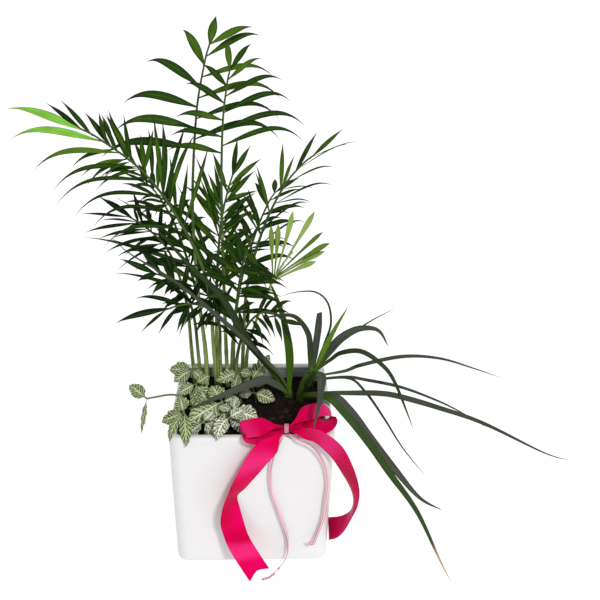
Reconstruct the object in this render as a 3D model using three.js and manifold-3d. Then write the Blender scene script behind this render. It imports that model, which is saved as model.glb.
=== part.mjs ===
// A square white ceramic pot planted with a parlour palm, a strap-leaved dracaena and white-veined
// fittonia, with a satin ribbon bow on its front rim. Millimetres, +Z up, the front of the pot towards -Y,
// and the origin on the surface it stands on, under the middle of the pot.

import * as THREE from 'three';
import { mergeVertices } from 'three/addons/utils/BufferGeometryUtils.js';
import Module from 'manifold-3d';

const wasm = await Module();
wasm.setup();

// ---- Driving dimensions -------------------------------------------------------------------------------

const POT = { top: 140, base: 133, height: 130, wall: 7, floor: 9, corner: 11, lip: 2.2, foot: 5,
  fillet: 4 };
const ROUND = { corner: 4, lip: 6, foot: 3 }; // steps round the pot's corners, its lip and its foot
const SOIL = { level: 119, bottom: 14, edge: 2, lump: 0.9, rings: 4, gap: 0.3 };
const LUMPS = { broad: [0.16, 0.19], fine: [0.41, 0.33], share: 0.6 }; // waves of the soil, in radians a mm
const ROOT = { depth: 20, gap: 0.45, sides: 6, spare: 10 };

const CLEAR = 0.35; // how far a leaf keeps from the leaves of other stems
const WELD = 1e-4; // corners closer than this are one corner
const DRAW = { spread: 7919, factor: 16807, modulus: 2147483647 }; // the repeatable random numbers
const UP = new THREE.Vector3(0, 0, 1);

// A frond's cane and leaflets: those at its tip close up over the last few, by a power of their rank, and are
// stiffer; a leaflet's droop grows with a power of the way along it.
const PALM = { stem: 2.1, tip: 0.75, sides: 5, steps: 9, thick: 1.0, fold: 0.12, last: 0.995, stagger: 0.45,
  close: 3, fall: 4, stiff: 0.6 };
const PALM_BLADE = { places: [0, 0.34, 0.7, 1], widths: [0.22, 1, 0.74, 0] };

// How leaflets differ from one another: their angle from the rib in degrees, their length for the frond's, how
// far they lift off the frond's face, and how far they twist towards the tip in radians.
const PALM_DRAW = { angle: 12, length: [0.9, 1.08], lift: 0.3, twist: 1 };

// Each palm frond: the line of its cane and rib from the soil to the tip, the way its upper face looks, where
// along that line the leaflets start, how many pairs, their width and its seed. The other values are a pair, for
// the rib's left side and its right side as the frond faces you: the longest leaflet, the leaflets' angle from
// the rib at the start and at the tip in degrees, how much shorter those at the tip are and by which power of
// their rank, how far they droop for their length, and how far they roll to face up, in radians.
const FRONDS = [
  { name: 'palm_frond_tall_left',
    path: [[-44, 44], [-45, 44, 160], [-50, 45, 215], [-53, 47, 294], [-48, 48, 373], [-40, 48, 417],
      [-35, 47, 434]],
    face: [0.1, -1, 0.25], start: 0.735, pairs: 6, length: [86, 82], width: 7.6,
    spread: [[80, 4], [66, 38]], fade: [[0.7, 1.2], [0.5, 2]], droop: [0.3, 0.4], roll: [0.2, 0.7],
    seed: 11 },
  { name: 'palm_frond_tall_right',
    path: [[-24, 41], [-25, 41, 160], [-26, 39, 215], [-27, 36, 305], [-25, 33, 369], [-21, 31, 402],
      [-18, 30, 416]],
    face: [-0.05, -1, 0.2], start: 0.775, pairs: 6, length: [54, 74], width: 6.6,
    spread: [[78, 22], [66, 24]], fade: [[0.5, 1.2], [0.6, 2.4]], droop: [0.26, 0.36], roll: [0.3, 0.5],
    seed: 23 },
  { name: 'palm_frond_long_left',
    path: [[-34, 33], [-36, 33, 160], [-41, 29, 232], [-63, 24, 289], [-90, 14, 333], [-122, 4, 362],
      [-136, 0, 371]],
    face: [0.35, -0.8, 0.5], start: 0.6, pairs: 8, length: [84, 40], width: 7, spread: [[44, 8], [42, 16]],
    fade: [[0.28, 6], [0.1, 1]], droop: [0.36, 0.1], roll: [0.2, 0.2], seed: 31 },
  { name: 'palm_frond_mid_left',
    path: [[-56, 48], [-58, 49, 155], [-62, 52, 204], [-76, 56, 249], [-96, 60, 271], [-112, 62, 281]],
    face: [0.4, -0.7, 0.6], start: 0.76, pairs: 6, length: [50, 40], width: 6.6,
    spread: [[56, 26], [46, 14]], fade: [[0.1, 2], [0.1, 2]], droop: [0.14, 0.14], roll: [0.3, 0.3],
    seed: 41 },
  { name: 'palm_frond_low_left',
    path: [[-30, 26], [-30, 26, 160], [-31, 18, 200], [-46, 8, 217], [-62, 0, 220], [-75, -6, 218]],
    face: [0.1, -0.6, 0.8], start: 0.6, pairs: 7, length: [29, 46], width: 5.6, spread: [[62, 26], [52, 6]],
    fade: [[-0.15, 2], [0.05, 2]], droop: [0.14, 0.26], roll: [0.3, 0.3], seed: 53 },
  { name: 'palm_frond_front_left',
    path: [[-48, 28], [-50, 27, 160], [-53, 20, 204], [-62, 12, 232], [-74, 4, 244], [-82, 0, 249]],
    face: [0.35, -0.8, 0.5], start: 0.68, pairs: 5, length: [26, 36], width: 6.6,
    spread: [[62, 30], [56, 6]], fade: [[0.2, 2], [0, 2]], droop: [0.3, 0.1], roll: [0.3, 0.3], seed: 61 },
  { name: 'palm_frond_high_right',
    path: [[-10, 46], [-9, 47, 160], [-5, 48, 220], [10, 52, 275], [28, 56, 312], [44, 59, 331],
      [53, 61, 338]],
    face: [-0.35, -0.85, 0.4], start: 0.58, pairs: 6, length: [56, 62], width: 6.4,
    spread: [[42, 4], [34, 16]], fade: [[0.35, 2], [0.3, 2]], droop: [0.08, 0.25], roll: [0.1, 1.15],
    seed: 71 },
  { name: 'palm_frond_fan_right',
    path: [[-6, 34], [-5, 33, 160], [4, 30, 195], [15, 26, 226], [26, 23, 249], [35, 21, 262]],
    face: [-0.3, -0.85, 0.45], start: 0.8, pairs: 4, length: [48, 50], width: 5.6,
    spread: [[32, 6], [38, 20]], fade: [[0.15, 1], [0.2, 1]], droop: [-0.02, 0.04], roll: [0.1, 0.1],
    seed: 83 },
  { name: 'palm_frond_low_right',
    path: [[-16, 28], [-14, 27, 160], [-6, 20, 190], [6, 10, 208], [18, 4, 211], [26, 0, 206]],
    face: [-0.1, -0.6, 0.8], start: 0.5, pairs: 6, length: [36, 36], width: 5.6,
    spread: [[62, 30], [62, 30]], fade: [[0.4, 2], [0.4, 2]], droop: [0.4, 0.4], roll: [0.3, 0.3],
    seed: 97 },
  { name: 'palm_frond_middle',
    path: [[-18, 37], [-18, 36, 160], [-15, 28, 205], [-10, 12, 246], [-6, -4, 268], [-4, -14, 276]],
    face: [0, -0.75, 0.65], start: 0.52, pairs: 7, length: [50, 50], width: 8, spread: [[62, 28], [62, 28]],
    fade: [[0.4, 2], [0.4, 2]], droop: [0.3, 0.3], roll: [0.3, 0.3], seed: 101 },
  { name: 'palm_frond_upright',
    path: [[-34, 46], [-34, 47, 170], [-33, 50, 225], [-29, 54, 274], [-23, 58, 304], [-18, 62, 320]],
    face: [0.1, -0.9, 0.3], start: 0.5, pairs: 8, length: [50, 50], width: 6.6,
    spread: [[48, 14], [46, 18]], fade: [[0.3, 2], [0.3, 2]], droop: [0.1, 0.12], roll: [0.3, 0.3],
    seed: 113 },
  { name: 'palm_frond_back_left',
    path: [[-44, 56], [-46, 57, 160], [-54, 66, 210], [-72, 88, 262], [-90, 108, 288], [-102, 120, 297]],
    face: [0.35, -0.5, 0.8], start: 0.5, pairs: 7, length: [56, 56], width: 7, spread: [[60, 24], [60, 24]],
    fade: [[0.4, 2], [0.4, 2]], droop: [0.3, 0.3], roll: [0.1, 0.1], seed: 127 },
  { name: 'palm_frond_back_right',
    path: [[-20, 54], [-19, 55, 160], [-12, 64, 214], [2, 84, 258], [14, 104, 282], [21, 117, 290]],
    face: [-0.2, -0.5, 0.85], start: 0.5, pairs: 7, length: [54, 54], width: 7,
    spread: [[60, 24], [60, 24]], fade: [[0.4, 2], [0.4, 2]], droop: [0.3, 0.3], roll: [0.1, 0.1],
    seed: 131 },
];

// What a leaflet tries, in turn, to stay clear of the leaves of other stems: a bend towards its upper face, for
// its length, and how much of its length is left.
const BENDS = [[0, 1], [0.12, 1], [-0.12, 1], [0.25, 1], [-0.25, 1], [0.4, 1], [-0.4, 1], [0.12, 0.75],
  [-0.12, 0.75], [0.3, 0.75], [-0.3, 0.75], [0, 0.5], [0.25, 0.5], [-0.25, 0.5], [0.5, 0.5], [-0.5, 0.5],
  [0, 0.3], [0.4, 0.3], [-0.4, 0.3], [0, 0.18]];

const STRAP = { thick: 1.3, fold: 0.16, step: 25, fewest: 5, sway: 60, stalk: 3.4, top: 3.8, sides: 8,
  rings: 4 };

// A strap leaf's outline: its width at the foot, the share of its length where it is full, and how it narrows to
// its tip; a leaf cut short widens up to a third of its length and keeps most of its width to the end.
const STRAP_OUTLINE = { root: 0.5, full: 0.3, taper: 1.5, power: 0.75, cutFull: 1 / 3, cutEnd: 0.7 };
const TILTED = [0, -0.62, 0.78];
const FACING = [0, -1, 0.1];

// Each dracaena shoot: its stalk from the soil to the crown, and for every leaf how far up the stalk it springs,
// the line of its rib beyond the stalk, its width and the way its upper face looks.
const SHOOTS = [
  { name: 'dracaena_left_shoot', stalk: [[34, 22], [34, 22, 127]],
    leaves: [
      { at: 0.8, path: [[34, 28, 160], [28, 31, 194], [20, 32, 218], [12, 34, 235]], width: 7.6,
        face: FACING },
      { at: 0.82, path: [[24, 20, 138], [11, 18, 157], [-5, 9, 183], [-27, -4, 230], [-54, -10, 262],
        [-80, -18, 298]], width: 8, face: TILTED },
      { at: 0.9, path: [[25, 16, 144], [10, 9, 165], [-5, 3, 184], [-24, -2, 205], [-65, -4, 243],
        [-102, -6, 269], [-117, -7, 285]], width: 6.4, face: TILTED },
      { at: 0.78, path: [[25, 12, 134], [13, 0, 147], [4, -10, 151], [-11, -22, 151], [-30, -31, 147],
        [-57, -37, 138]], width: 9, face: TILTED },
    ] },
  { name: 'dracaena_right_shoot', stalk: [[43.5, 14.5], [47, 15, 134], [59, 18, 151]],
    leaves: [
      { at: 0.96, path: [[65, 19, 168], [75, 20, 190], [86, 22, 210]], width: 5.4, face: FACING },
      { at: 0.92, path: [[65, 20, 173], [71, 24, 192], [68, 27, 211], [57, 29, 221], [40, 32, 220],
        [24, 35, 214]], width: 2.6, face: [0.5, -0.8, 0.3] },
      { at: 0.86, path: [[58, 24, 171], [60, 28, 186], [61, 31, 201]], width: 6.4, face: FACING,
        blunt: true },
      { at: 0.82, path: [[52, 14, 173], [49, 10, 190], [39, 5, 206], [27, 0, 211], [8, -5, 210]],
        width: 6.4, face: [0.35, -0.75, 0.5] },
      { at: 0.9, path: [[74, 22, 171], [86, 27, 180], [100, 32, 184], [117, 36, 180], [128, 38, 162]],
        width: 8.4, face: TILTED },
      { at: 0.94, path: [[80, 28, 170], [92, 33, 178], [110, 42, 187], [134, 50, 197]], width: 2.4,
        face: TILTED },
      { at: 0.88, path: [[72, 15, 161], [80, 11, 169], [97, 6, 173], [114, 1, 164], [128, -3, 147],
        [148, -9, 100]], width: 5, face: TILTED },
      { at: 0.8, path: [[85, 20, 146], [100, 24, 150], [140, 30, 156], [177, 36, 151], [213, 40, 138],
        [242, 43, 126]], width: 4, face: TILTED },
      { at: 0.74, path: [[85, 14, 143], [104, 14, 140], [138, 12, 133], [175, 9, 119], [200, 7, 106],
        [223, 5, 92]], width: 3.4, face: TILTED },
      { at: 0.48, path: [[59, 0, 132], [69, -4, 136], [88, -4, 136], [115, -5, 136], [134, -6, 133],
        [171, -8, 122], [212, -12, 108], [270, -18, 80], [296, -21, 73]], width: 5.6, face: TILTED },
      { at: 0.7, path: [[86, 8, 145], [102, 2, 135], [120, -5, 111], [139, -9, 81], [164, -14, 50]],
        width: 2.6, face: TILTED },
      { at: 0.44, path: [[70, -12, 137], [86, -18, 125], [104, -26, 103], [127, -42, 79], [149, -52, 56],
        [170, -56, 45]], width: 10.5, face: TILTED },
      { at: 0.43, path: [[65, -14, 138], [83, -22, 124], [104, -34, 101], [121, -46, 79], [144, -68, 53],
        [163, -88, 17], [172, -100, 2.5]], width: 7.4, face: TILTED },
      { at: 0.92, path: [[61, -8, 157], [58, -46, 164], [54, -74, 161], [49, -88, 147]], width: 8.4,
        face: [0.1, -0.35, 0.93] },
    ] },
];

const SPRIG = { stem: 1.1, tip: 0.8, sides: 6, steps: 4, thick: 1.0, cup: 0.12, wave: 0.1, droop: 0.14,
  wide: 0.66, turn: 0.7 };
const SPRIG_BLADE = { places: [0, 0.15, 0.3, 0.52, 0.8, 1], widths: [0.1, 0.12, 0.8, 1, 0.62, 0] };
const SPRIG_LOOK = [-0.12, -0.62, 0.78];

// Each fittonia sprig: its stem, and for each leaf at its tip the direction in degrees round the way the leaves
// look, 0 to the right and 90 up, its length, and its width where that isn't the usual share of the length.
const SPRIGS = [
  { name: 'fittonia_trailing_sprig',
    path: [[-52, -8], [-58, -10, 130], [-70, -6, 136], [-90, -2, 131], [-95, -2, 130]],
    leaves: [[128, 23, 0.55], [262, 29, 0.3]] },
  { name: 'fittonia_corner_sprig', path: [[-51, -36], [-56, -42, 134], [-58, -44, 139]],
    leaves: [[172, 21], [248, 29, 0.55], [284, 28, 0.5], [100, 20]] },
  { name: 'fittonia_front_left_sprig', path: [[-30, -18], [-28, -21, 132], [-26, -23, 138]],
    leaves: [[211, 34], [280, 25], [118, 24], [25, 15]] },
  { name: 'fittonia_low_sprig', path: [[-37, -44], [-40, -49, 130], [-41, -52, 135]],
    leaves: [[186, 20], [300, 17], [60, 15]] },
  { name: 'fittonia_front_middle_sprig', path: [[-22, -42], [-21, -46, 131], [-20, -48, 136]],
    leaves: [[205, 23], [262, 19], [45, 17]] },
  { name: 'fittonia_front_right_sprig', path: [[-16, -30], [-17, -34, 130], [-17, -36, 137]],
    leaves: [[342, 23, 0.85], [300, 21], [140, 15], [70, 14]] },
  { name: 'fittonia_right_sprig', path: [[9, 15], [7, 12, 126], [1, 8, 130]],
    leaves: [[328, 21], [175, 14]] },
  { name: 'fittonia_middle_sprig', path: [[-45, 5], [-49, 3, 136], [-51, 1, 143]],
    leaves: [[258, 25, 0.5], [302, 25], [200, 18], [35, 16]] },
  { name: 'fittonia_back_left_sprig', path: [[-50, 16], [-54, 21, 138], [-56, 24, 146]],
    leaves: [[160, 22], [210, 19], [25, 17], [330, 15]] },
  { name: 'fittonia_back_sprig', path: [[-11, 10], [-12, 13, 132], [-13, 16, 147]],
    leaves: [[178, 22], [235, 16], [345, 13]] },
  { name: 'fittonia_slim_sprig', path: [[3, 10], [1, 14, 128], [-2, 18, 136]],
    leaves: [[50, 37, 0.4], [112, 16], [345, 14]] },
];

const RIBBON = { width: 20, thick: 0.8, waist: 3, gather: 1.5, core: 2.2, neck: 5, flare: 17, notch: 5, step: 8,
  knot: 10, sides: 10 };
const KNOT = [28.4, -67.5, 137.2];

// The ribbon's four runs from the knot: for each, places along its middle and the way it lies across there.
const RUNS = [
  { name: 'left loop', ends: 2,
    line: [[27, -67.5, 138.3], [17, -68, 139.3], [5, -67, 138.4], [-5, -66.8, 136.4], [-8.2, -67, 134],
      [-4, -68.3, 131.2], [8, -68.8, 131], [27, -67.5, 136.1]],
    across: [[0, -0.9, -0.4], [0.1, -0.9, -0.35], [0.25, -0.9, -0.3], [0.4, -0.88, -0.2],
      [0.42, -0.9, -0.13], [0.4, -0.9, -0.13], [0.2, -0.9, -0.2], [0, -0.9, -0.4]] },
  { name: 'right loop', ends: 2,
    line: [[30, -67.5, 138.3], [39, -65, 145], [50, -60.5, 149.6], [61, -57.5, 149], [66.5, -60, 143.2],
      [60, -65, 138.8], [46, -66, 140], [30, -67.5, 136.1]],
    across: [[0, -0.8, -0.5], [0.1, -0.9, -0.3], [0.1, -0.95, -0.1], [0.1, -1, 0], [0.1, -1, 0],
      [0.1, -0.95, -0.15], [0.05, -0.9, -0.3], [0, -0.8, -0.5]] },
  { name: 'left tail', ends: 1,
    line: [[26.4, -68.6, 136.8], [20, -76, 133.5], [7.1, -78.5, 118.2], [-3.1, -78, 101], [-11, -78, 87.5],
      [-18, -79.5, 75], [-18.2, -79.5, 59.8], [-15.6, -79, 44.9], [-10.6, -82, 31.8], [-1, -88, 17.6],
      [6.5, -93, 7.8]],
    across: [[0.4, 0, -0.9], [0.55, 0.1, -0.8], [0.73, 0.2, -0.65], [0.66, 0.45, -0.6], [0.69, 0.62, -0.28],
      [0.55, 0.83, -0.1], [0.82, 0.55, 0], [0.95, 0.12, 0.28], [0.89, 0.15, 0.42], [0.85, 0.2, 0.5],
      [0.77, 0.24, 0.59]] },
  { name: 'right tail', ends: 1,
    line: [[30.4, -68.6, 136.8], [42.1, -76, 137.6], [53.8, -80, 136.8], [66.4, -81.5, 126.7],
      [75.3, -81, 112.2], [83, -77.5, 92.9], [86.6, -74, 77.4], [87.5, -70, 61.6], [84.4, -65, 43.9],
      [77.9, -56, 29.2], [70.4, -44, 18], [70.6, -33, 10]],
    across: [[0.4, 0, 0.9], [0.4, -0.45, 0.8], [0.5, -0.55, 0.65], [0.59, -0.55, 0.6], [0.5, -0.69, 0.53],
      [0.38, -0.82, 0.44], [0.2, -0.91, 0.37], [-0.05, -0.98, 0.2], [-0.3, -0.9, -0.3], [-0.2, -0.8, -0.5],
      [0, -0.75, -0.66], [0, -0.7, -0.7]] },
];

// The thin ribbon that ties the bow: the band round the knot, and the middle lines of its two hanging ends with
// the way that each lies across.
const TIE = { width: 2.4, thick: 0.8, band: 3.6, radius: 3.4, sides: 14, step: 9 };
const TIE_ENDS = [
  { name: 'tie_end_left',
    line: [[26.6, -71, 133.4], [23.4, -73.9, 129.5], [18.8, -74.3, 119], [15.3, -73, 100.5],
      [16.4, -72.5, 79.2], [23.1, -72, 55.8], [29.4, -71.5, 34.8], [31.4, -71.5, 21.3], [29.7, -73.5, 9.5],
      [23.5, -79, 3], [16, -87.5, 1.4], [8.5, -91.5, 1.4]],
    across: [[1, 0, 0.3], [0.9, 0, -0.2], [1, 0, 0], [1, 0, 0.1], [1, 0, 0.3], [0.95, 0.2, 0.25],
      [0.8, 0.5, 0.1], [0.5, 0.8, 0], [0.5, 0.8, 0.1], [0.6, 0.6, 0.3], [0.5, 0.75, 0], [0.5, 0.75, 0]] },
  { name: 'tie_end_right',
    line: [[30.2, -71, 133.4], [39.5, -76.2, 131], [49.4, -75.5, 124.9], [56.8, -74, 113.9],
      [61.9, -73.5, 101.4], [64.3, -73, 86], [63.5, -73, 71.8], [61.6, -72.5, 51.9], [56.8, -72.5, 34.1],
      [52.9, -73.5, 24.5], [49.4, -75.5, 28.4]],
    across: [[0.5, 0, 0.85], [0.6, 0, 0.8], [0.8, -0.1, 0.6], [0.9, -0.2, 0.5], [0.9, -0.3, 0.3],
      [0.9, -0.3, 0.1], [1, 0, -0.1], [0.95, 0, -0.3], [0.9, 0, -0.4], [0.5, -0.2, -0.85],
      [-0.6, 0, -0.8]] },
];

// ---- Closed shapes ------------------------------------------------------------------------------------

/** A vector from three numbers. */
function point(values) {
  return new THREE.Vector3(values[0], values[1], values[2]);
}

/** A repeatable run of numbers between 0 and 1. */
function seeded(seed) {
  let state = seed * DRAW.spread + 1;
  return () => {
    state = (state * DRAW.factor) % DRAW.modulus;
    return state / DRAW.modulus;
  };
}

/** A value part of the way from one to another. */
function between(from, to, share) {
  return from + (to - from) * share;
}

/**
 * The closed skin over rings of equal count, one after another; an end ring may be one point. The diagonals
 * of the lower half mirror those of the upper half, so that both faces of a blade are split alike.
 */
function skin(rings) {
  const positions = [];
  const index = [];
  const starts = rings.map((ring) => {
    const start = positions.length / 3;
    ring.forEach((corner) => positions.push(corner.x, corner.y, corner.z));
    return start;
  });
  for (let i = 0; i + 1 < rings.length; i++) {
    const [a, b] = [starts[i], starts[i + 1]];
    const count = Math.max(rings[i].length, rings[i + 1].length);
    for (let k = 0; k < count; k++) {
      const next = (k + 1) % count;
      if (rings[i].length === 1) {
        index.push(a, b + next, b + k);
      } else if (rings[i + 1].length === 1) {
        index.push(a + k, a + next, b);
      } else if (k % (count / 2) === 0) {
        index.push(a + k, a + next, b + next, a + k, b + next, b + k);
      } else {
        index.push(a + k, a + next, b + k, a + next, b + next, b + k);
      }
    }
  }
  const last = rings.length - 1;
  for (let k = 1; k + 1 < rings[0].length; k++) {
    index.push(starts[0], starts[0] + k + 1, starts[0] + k);
  }
  for (let k = 1; k + 1 < rings[last].length; k++) {
    index.push(starts[last], starts[last] + k, starts[last] + k + 1);
  }
  const geometry = new THREE.BufferGeometry();
  geometry.setAttribute('position', new THREE.Float32BufferAttribute(positions, 3));
  geometry.setIndex(index);
  return geometry;
}

/** A geometry as a solid that can be joined and cut, its faces turned to point outwards. */
function solid(geometry) {
  const bare = geometry.clone();
  bare.deleteAttribute('normal');
  bare.deleteAttribute('uv');
  const merged = mergeVertices(bare, WELD);
  const triVerts = Uint32Array.from(merged.index.array);
  const vertProperties = Float32Array.from(merged.attributes.position.array);
  const shape = new wasm.Manifold(new wasm.Mesh({ numProp: 3, vertProperties, triVerts }));
  if (shape.volume() > 0) {
    return shape;
  }
  for (let i = 0; i < triVerts.length; i += 3) {
    [triVerts[i], triVerts[i + 1]] = [triVerts[i + 1], triVerts[i]];
  }
  return new wasm.Manifold(new wasm.Mesh({ numProp: 3, vertProperties, triVerts }));
}

/** A solid as a geometry. */
function surface(shape) {
  const mesh = shape.getMesh();
  const geometry = new THREE.BufferGeometry();
  geometry.setAttribute('position', new THREE.Float32BufferAttribute(mesh.vertProperties, 3));
  geometry.setIndex(Array.from(mesh.triVerts));
  return geometry.toNonIndexed();
}

/** The ring of a round stem. */
function circle(centre, tangent, radius, sides) {
  const across = new THREE.Vector3(1, 0, 0);
  const forward = across.clone().cross(tangent).normalize();
  across.crossVectors(tangent, forward).normalize();
  return Array.from({ length: sides }, (_, k) => {
    const angle = (2 * Math.PI * k) / sides;
    return centre.clone().addScaledVector(across, radius * Math.cos(angle))
      .addScaledVector(forward, radius * Math.sin(angle));
  });
}

/** The middle of a stem made in straight steps along a curve, at a share of its length. */
function stemMiddle(curve, share, steps) {
  const step = Math.min(Math.floor(share * steps), steps - 1);
  return curve.getPointAt(step / steps).lerp(curve.getPointAt((step + 1) / steps), share * steps - step);
}

/** A round stem along a curve, thinning from its foot to its tip. */
function stem(curve, foot, tip, sides, steps) {
  const rings = [];
  for (let i = 0; i <= steps; i++) {
    const share = i / steps;
    rings.push(circle(curve.getPointAt(share), curve.getTangentAt(share), between(foot, tip, share), sides));
  }
  return solid(skin(rings));
}

/** One thin leaf: rings of left edge, upper rib, right edge and lower rib along its line, ending in a point. */
function blade(places, line, faces, halfWidths, thick, fold) {
  const rings = places.map((_, i) => {
    const tangent = line[Math.min(i + 1, line.length - 1)].clone().sub(line[Math.max(i - 1, 0)]).normalize();
    const across = faces[i].clone().cross(tangent).normalize();
    const normal = tangent.clone().cross(across).normalize();
    const half = halfWidths[i];
    if (half === 0) {
      return [line[i].clone()];
    }
    const valley = -fold * half;
    return [
      line[i].clone().addScaledVector(across, half),
      line[i].clone().addScaledVector(normal, valley + thick / 2),
      line[i].clone().addScaledVector(across, -half),
      line[i].clone().addScaledVector(normal, valley - thick / 2),
    ];
  });
  return solid(skin(rings));
}

// ---- Room for each leaf -------------------------------------------------------------------------------

const placed = [];

/** Whether two boxes share any space. */
function meet(a, b) {
  return [0, 1, 2].every((axis) => a.min[axis] < b.max[axis] && b.min[axis] < a.max[axis]);
}

/** Whether a shape is free of all that belongs to other nodes. */
function free(shape, name) {
  const box = shape.boundingBox();
  return placed.every((other) => other.name === name || !meet(box, other.box)
    || shape.intersect(other.shape).isEmpty());
}

/** Keeps a shape's place for its node. */
function keep(shape, name) {
  placed.push({ name, shape, box: shape.boundingBox() });
  return shape;
}

/** The first bend of a leaf that is free, made by a function of the bend and the extra thickness. */
function settle(name, make) {
  for (const bend of BENDS) {
    if (free(make(bend, 2 * CLEAR), name)) {
      return keep(make(bend, 0), name);
    }
  }
  return null;
}

/** Shapes joined into one solid. */
function joined(shapes) {
  return shapes.reduce((whole, shape) => whole.add(shape));
}

const group = new THREE.Group();

/** Adds a node to the part with its own material. */
function node(name, geometry, colour, roughness, metalness = 0) {
  const material = new THREE.MeshStandardMaterial({ color: colour, roughness, metalness });
  const mesh = new THREE.Mesh(geometry, material);
  mesh.name = name;
  group.add(mesh);
}

// ---- Pot and soil -------------------------------------------------------------------------------------

/** A square ring with rounded corners. */
function roundedSquare(side, corner, height) {
  const steps = ROUND.corner;
  const reach = side / 2 - corner;
  const ring = [];
  for (let quarter = 0; quarter < 4; quarter++) {
    const middle = new THREE.Vector2(reach, reach).rotateAround(new THREE.Vector2(), (quarter * Math.PI) / 2);
    for (let i = 0; i <= steps; i++) {
      const angle = ((quarter + i / steps) * Math.PI) / 2;
      const x = middle.x + corner * Math.cos(angle);
      const y = middle.y + corner * Math.sin(angle);
      ring.push(new THREE.Vector3(x, y, height));
    }
  }
  return ring;
}

/** The outer side of the tapering pot at a height. */
function potSide(height) {
  return between(POT.base, POT.top, height / POT.height);
}

/** The pot: outer wall with a rolled lip, inner wall and inner floor, as one open shell. */
function pot() {
  const { top, base, height, wall, floor, corner, lip, foot, fillet } = POT;
  const rings = [];
  for (let i = 0; i <= ROUND.foot; i++) {
    const angle = (i / ROUND.foot) * (Math.PI / 2);
    const inset = foot * (1 - Math.sin(angle));
    rings.push(roundedSquare(base - 2 * inset, corner - inset, foot * (1 - Math.cos(angle))));
  }
  rings.push(roundedSquare(potSide(height / 2), corner, height / 2));
  for (let i = 0; i <= ROUND.lip; i++) {
    const angle = (i / ROUND.lip) * Math.PI;
    const past = Math.cos(angle) < 0 ? wall - 2 * lip : 0;
    const inset = past + lip * (1 - Math.cos(angle));
    rings.push(roundedSquare(top - 2 * inset, corner - inset, height - lip * (1 - Math.sin(angle))));
  }
  rings.push(roundedSquare(potSide(floor + fillet) - 2 * wall, corner - wall, floor + fillet));
  rings.push(roundedSquare(potSide(floor) - 2 * wall - fillet, corner - wall - 1, floor));
  return solid(skin(rings));
}

/** The height of the uneven soil at a place. */
function soilHeight(x, y) {
  const { broad, fine, share } = LUMPS;
  const swell = Math.sin(x * broad[0] + 1) * Math.cos(y * broad[1]);
  const crumble = share * Math.sin(x * fine[0] - y * fine[1]);
  return SOIL.level + SOIL.lump * (swell + crumble);
}

/** The potting soil that fills the pot, with a plain hole for each foot given as [x, y, radius]. */
function soil(feet) {
  const { level, bottom, edge, rings: count, gap } = SOIL;
  const inset = 2 * (POT.wall + gap);
  const corner = POT.corner - POT.wall;
  const side = potSide(level - edge) - inset;
  const rings = [roundedSquare(potSide(bottom) - inset, corner, bottom)];
  for (let i = 0; i < count; i++) {
    const share = 1 - i / count;
    const ring = roundedSquare(side * share, corner * share, level);
    ring.forEach((corners) => {
      corners.z = i === 0 ? level - edge : soilHeight(corners.x, corners.y);
    });
    rings.push(ring);
  }
  rings.push([new THREE.Vector3(0, 0, soilHeight(0, 0))]);
  let fill = solid(skin(rings));
  for (const [x, y, radius] of feet) {
    const reach = (radius + ROOT.gap) / Math.cos(Math.PI / ROOT.sides);
    const length = ROOT.depth + ROOT.spare;
    const hole = new THREE.CylinderGeometry(reach, reach, length, ROOT.sides);
    hole.rotateX(Math.PI / 2);
    hole.translate(x, y, level - ROOT.depth - ROOT.gap + length / 2);
    fill = fill.subtract(solid(hole));
  }
  return fill;
}

/** A stem's line: its foot under the soil, then up through the soil and along its points. */
function stemLine(path) {
  const [x, y] = path[0];
  const points = [[x, y, SOIL.level - ROOT.depth], [x, y, SOIL.level + 3], ...path.slice(1)];
  return new THREE.CatmullRomCurve3(points.map(point), false, 'catmullrom', 0.5);
}

// ---- Parlour palm -------------------------------------------------------------------------------------

/** The places of a frond's leaflets: share along the rib, side, and rank from 0 at the start to 1 at the tip. */
function leafletPlaces(frond) {
  const places = [];
  for (let i = 0; i < frond.pairs; i++) {
    for (const side of [-1, 1]) {
      const shift = side > 0 && i < frond.pairs - 1 ? PALM.stagger : 0;
      const rank = Math.min(1, (i + shift) / (frond.pairs - 1));
      places.push({ along: between(frond.start, PALM.last, rank), side, rank });
    }
  }
  return places;
}

/** A function that makes one leaflet of a frond for a bend and an extra thickness. */
function leaflet(frond, rib, place, random) {
  const side = place.side < 0 ? 0 : 1;
  const root = stemMiddle(rib, place.along, PALM.steps);
  const tangent = rib.getTangentAt(place.along);
  const sideways = tangent.clone().cross(point(frond.face)).normalize();
  const face = sideways.clone().cross(tangent).normalize();
  const closing = place.rank ** PALM.close;
  const [shorter, power] = frond.fade[side];
  const angle = between(...frond.spread[side], closing) + (random() - 0.5) * PALM_DRAW.angle;
  const rankShare = 1 - shorter * place.rank ** power;
  const reach = frond.length[side] * rankShare * between(...PALM_DRAW.length, random());
  const lift = (random() - 0.5) * PALM_DRAW.lift;
  const twist = (random() - 0.5) * PALM_DRAW.twist;
  const turn = THREE.MathUtils.degToRad(angle);
  const heading = tangent.clone().multiplyScalar(Math.cos(turn))
    .addScaledVector(sideways, place.side * Math.sin(turn)).addScaledVector(face, lift).normalize();
  const fall = frond.droop[side] * (1 - PALM.stiff * closing);
  const roll = -place.side * frond.roll[side];
  return ([bend, share], extra) => {
    const length = reach * share;
    const line = PALM_BLADE.places.map((s) => root.clone().addScaledVector(heading, length * s)
      .addScaledVector(UP, -fall * length * s ** PALM.fall).addScaledVector(face, bend * length * s * s));
    const faces = PALM_BLADE.places.map((s) => face.clone().applyAxisAngle(heading, roll + twist * s));
    const halves = PALM_BLADE.widths.map((w) => (w * frond.width) / 2);
    return blade(PALM_BLADE.places, line, faces, halves, PALM.thick + extra, PALM.fold);
  };
}

const ribs = new Map(FRONDS.map((frond) => [frond.name, stemLine(frond.path)]));

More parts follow.
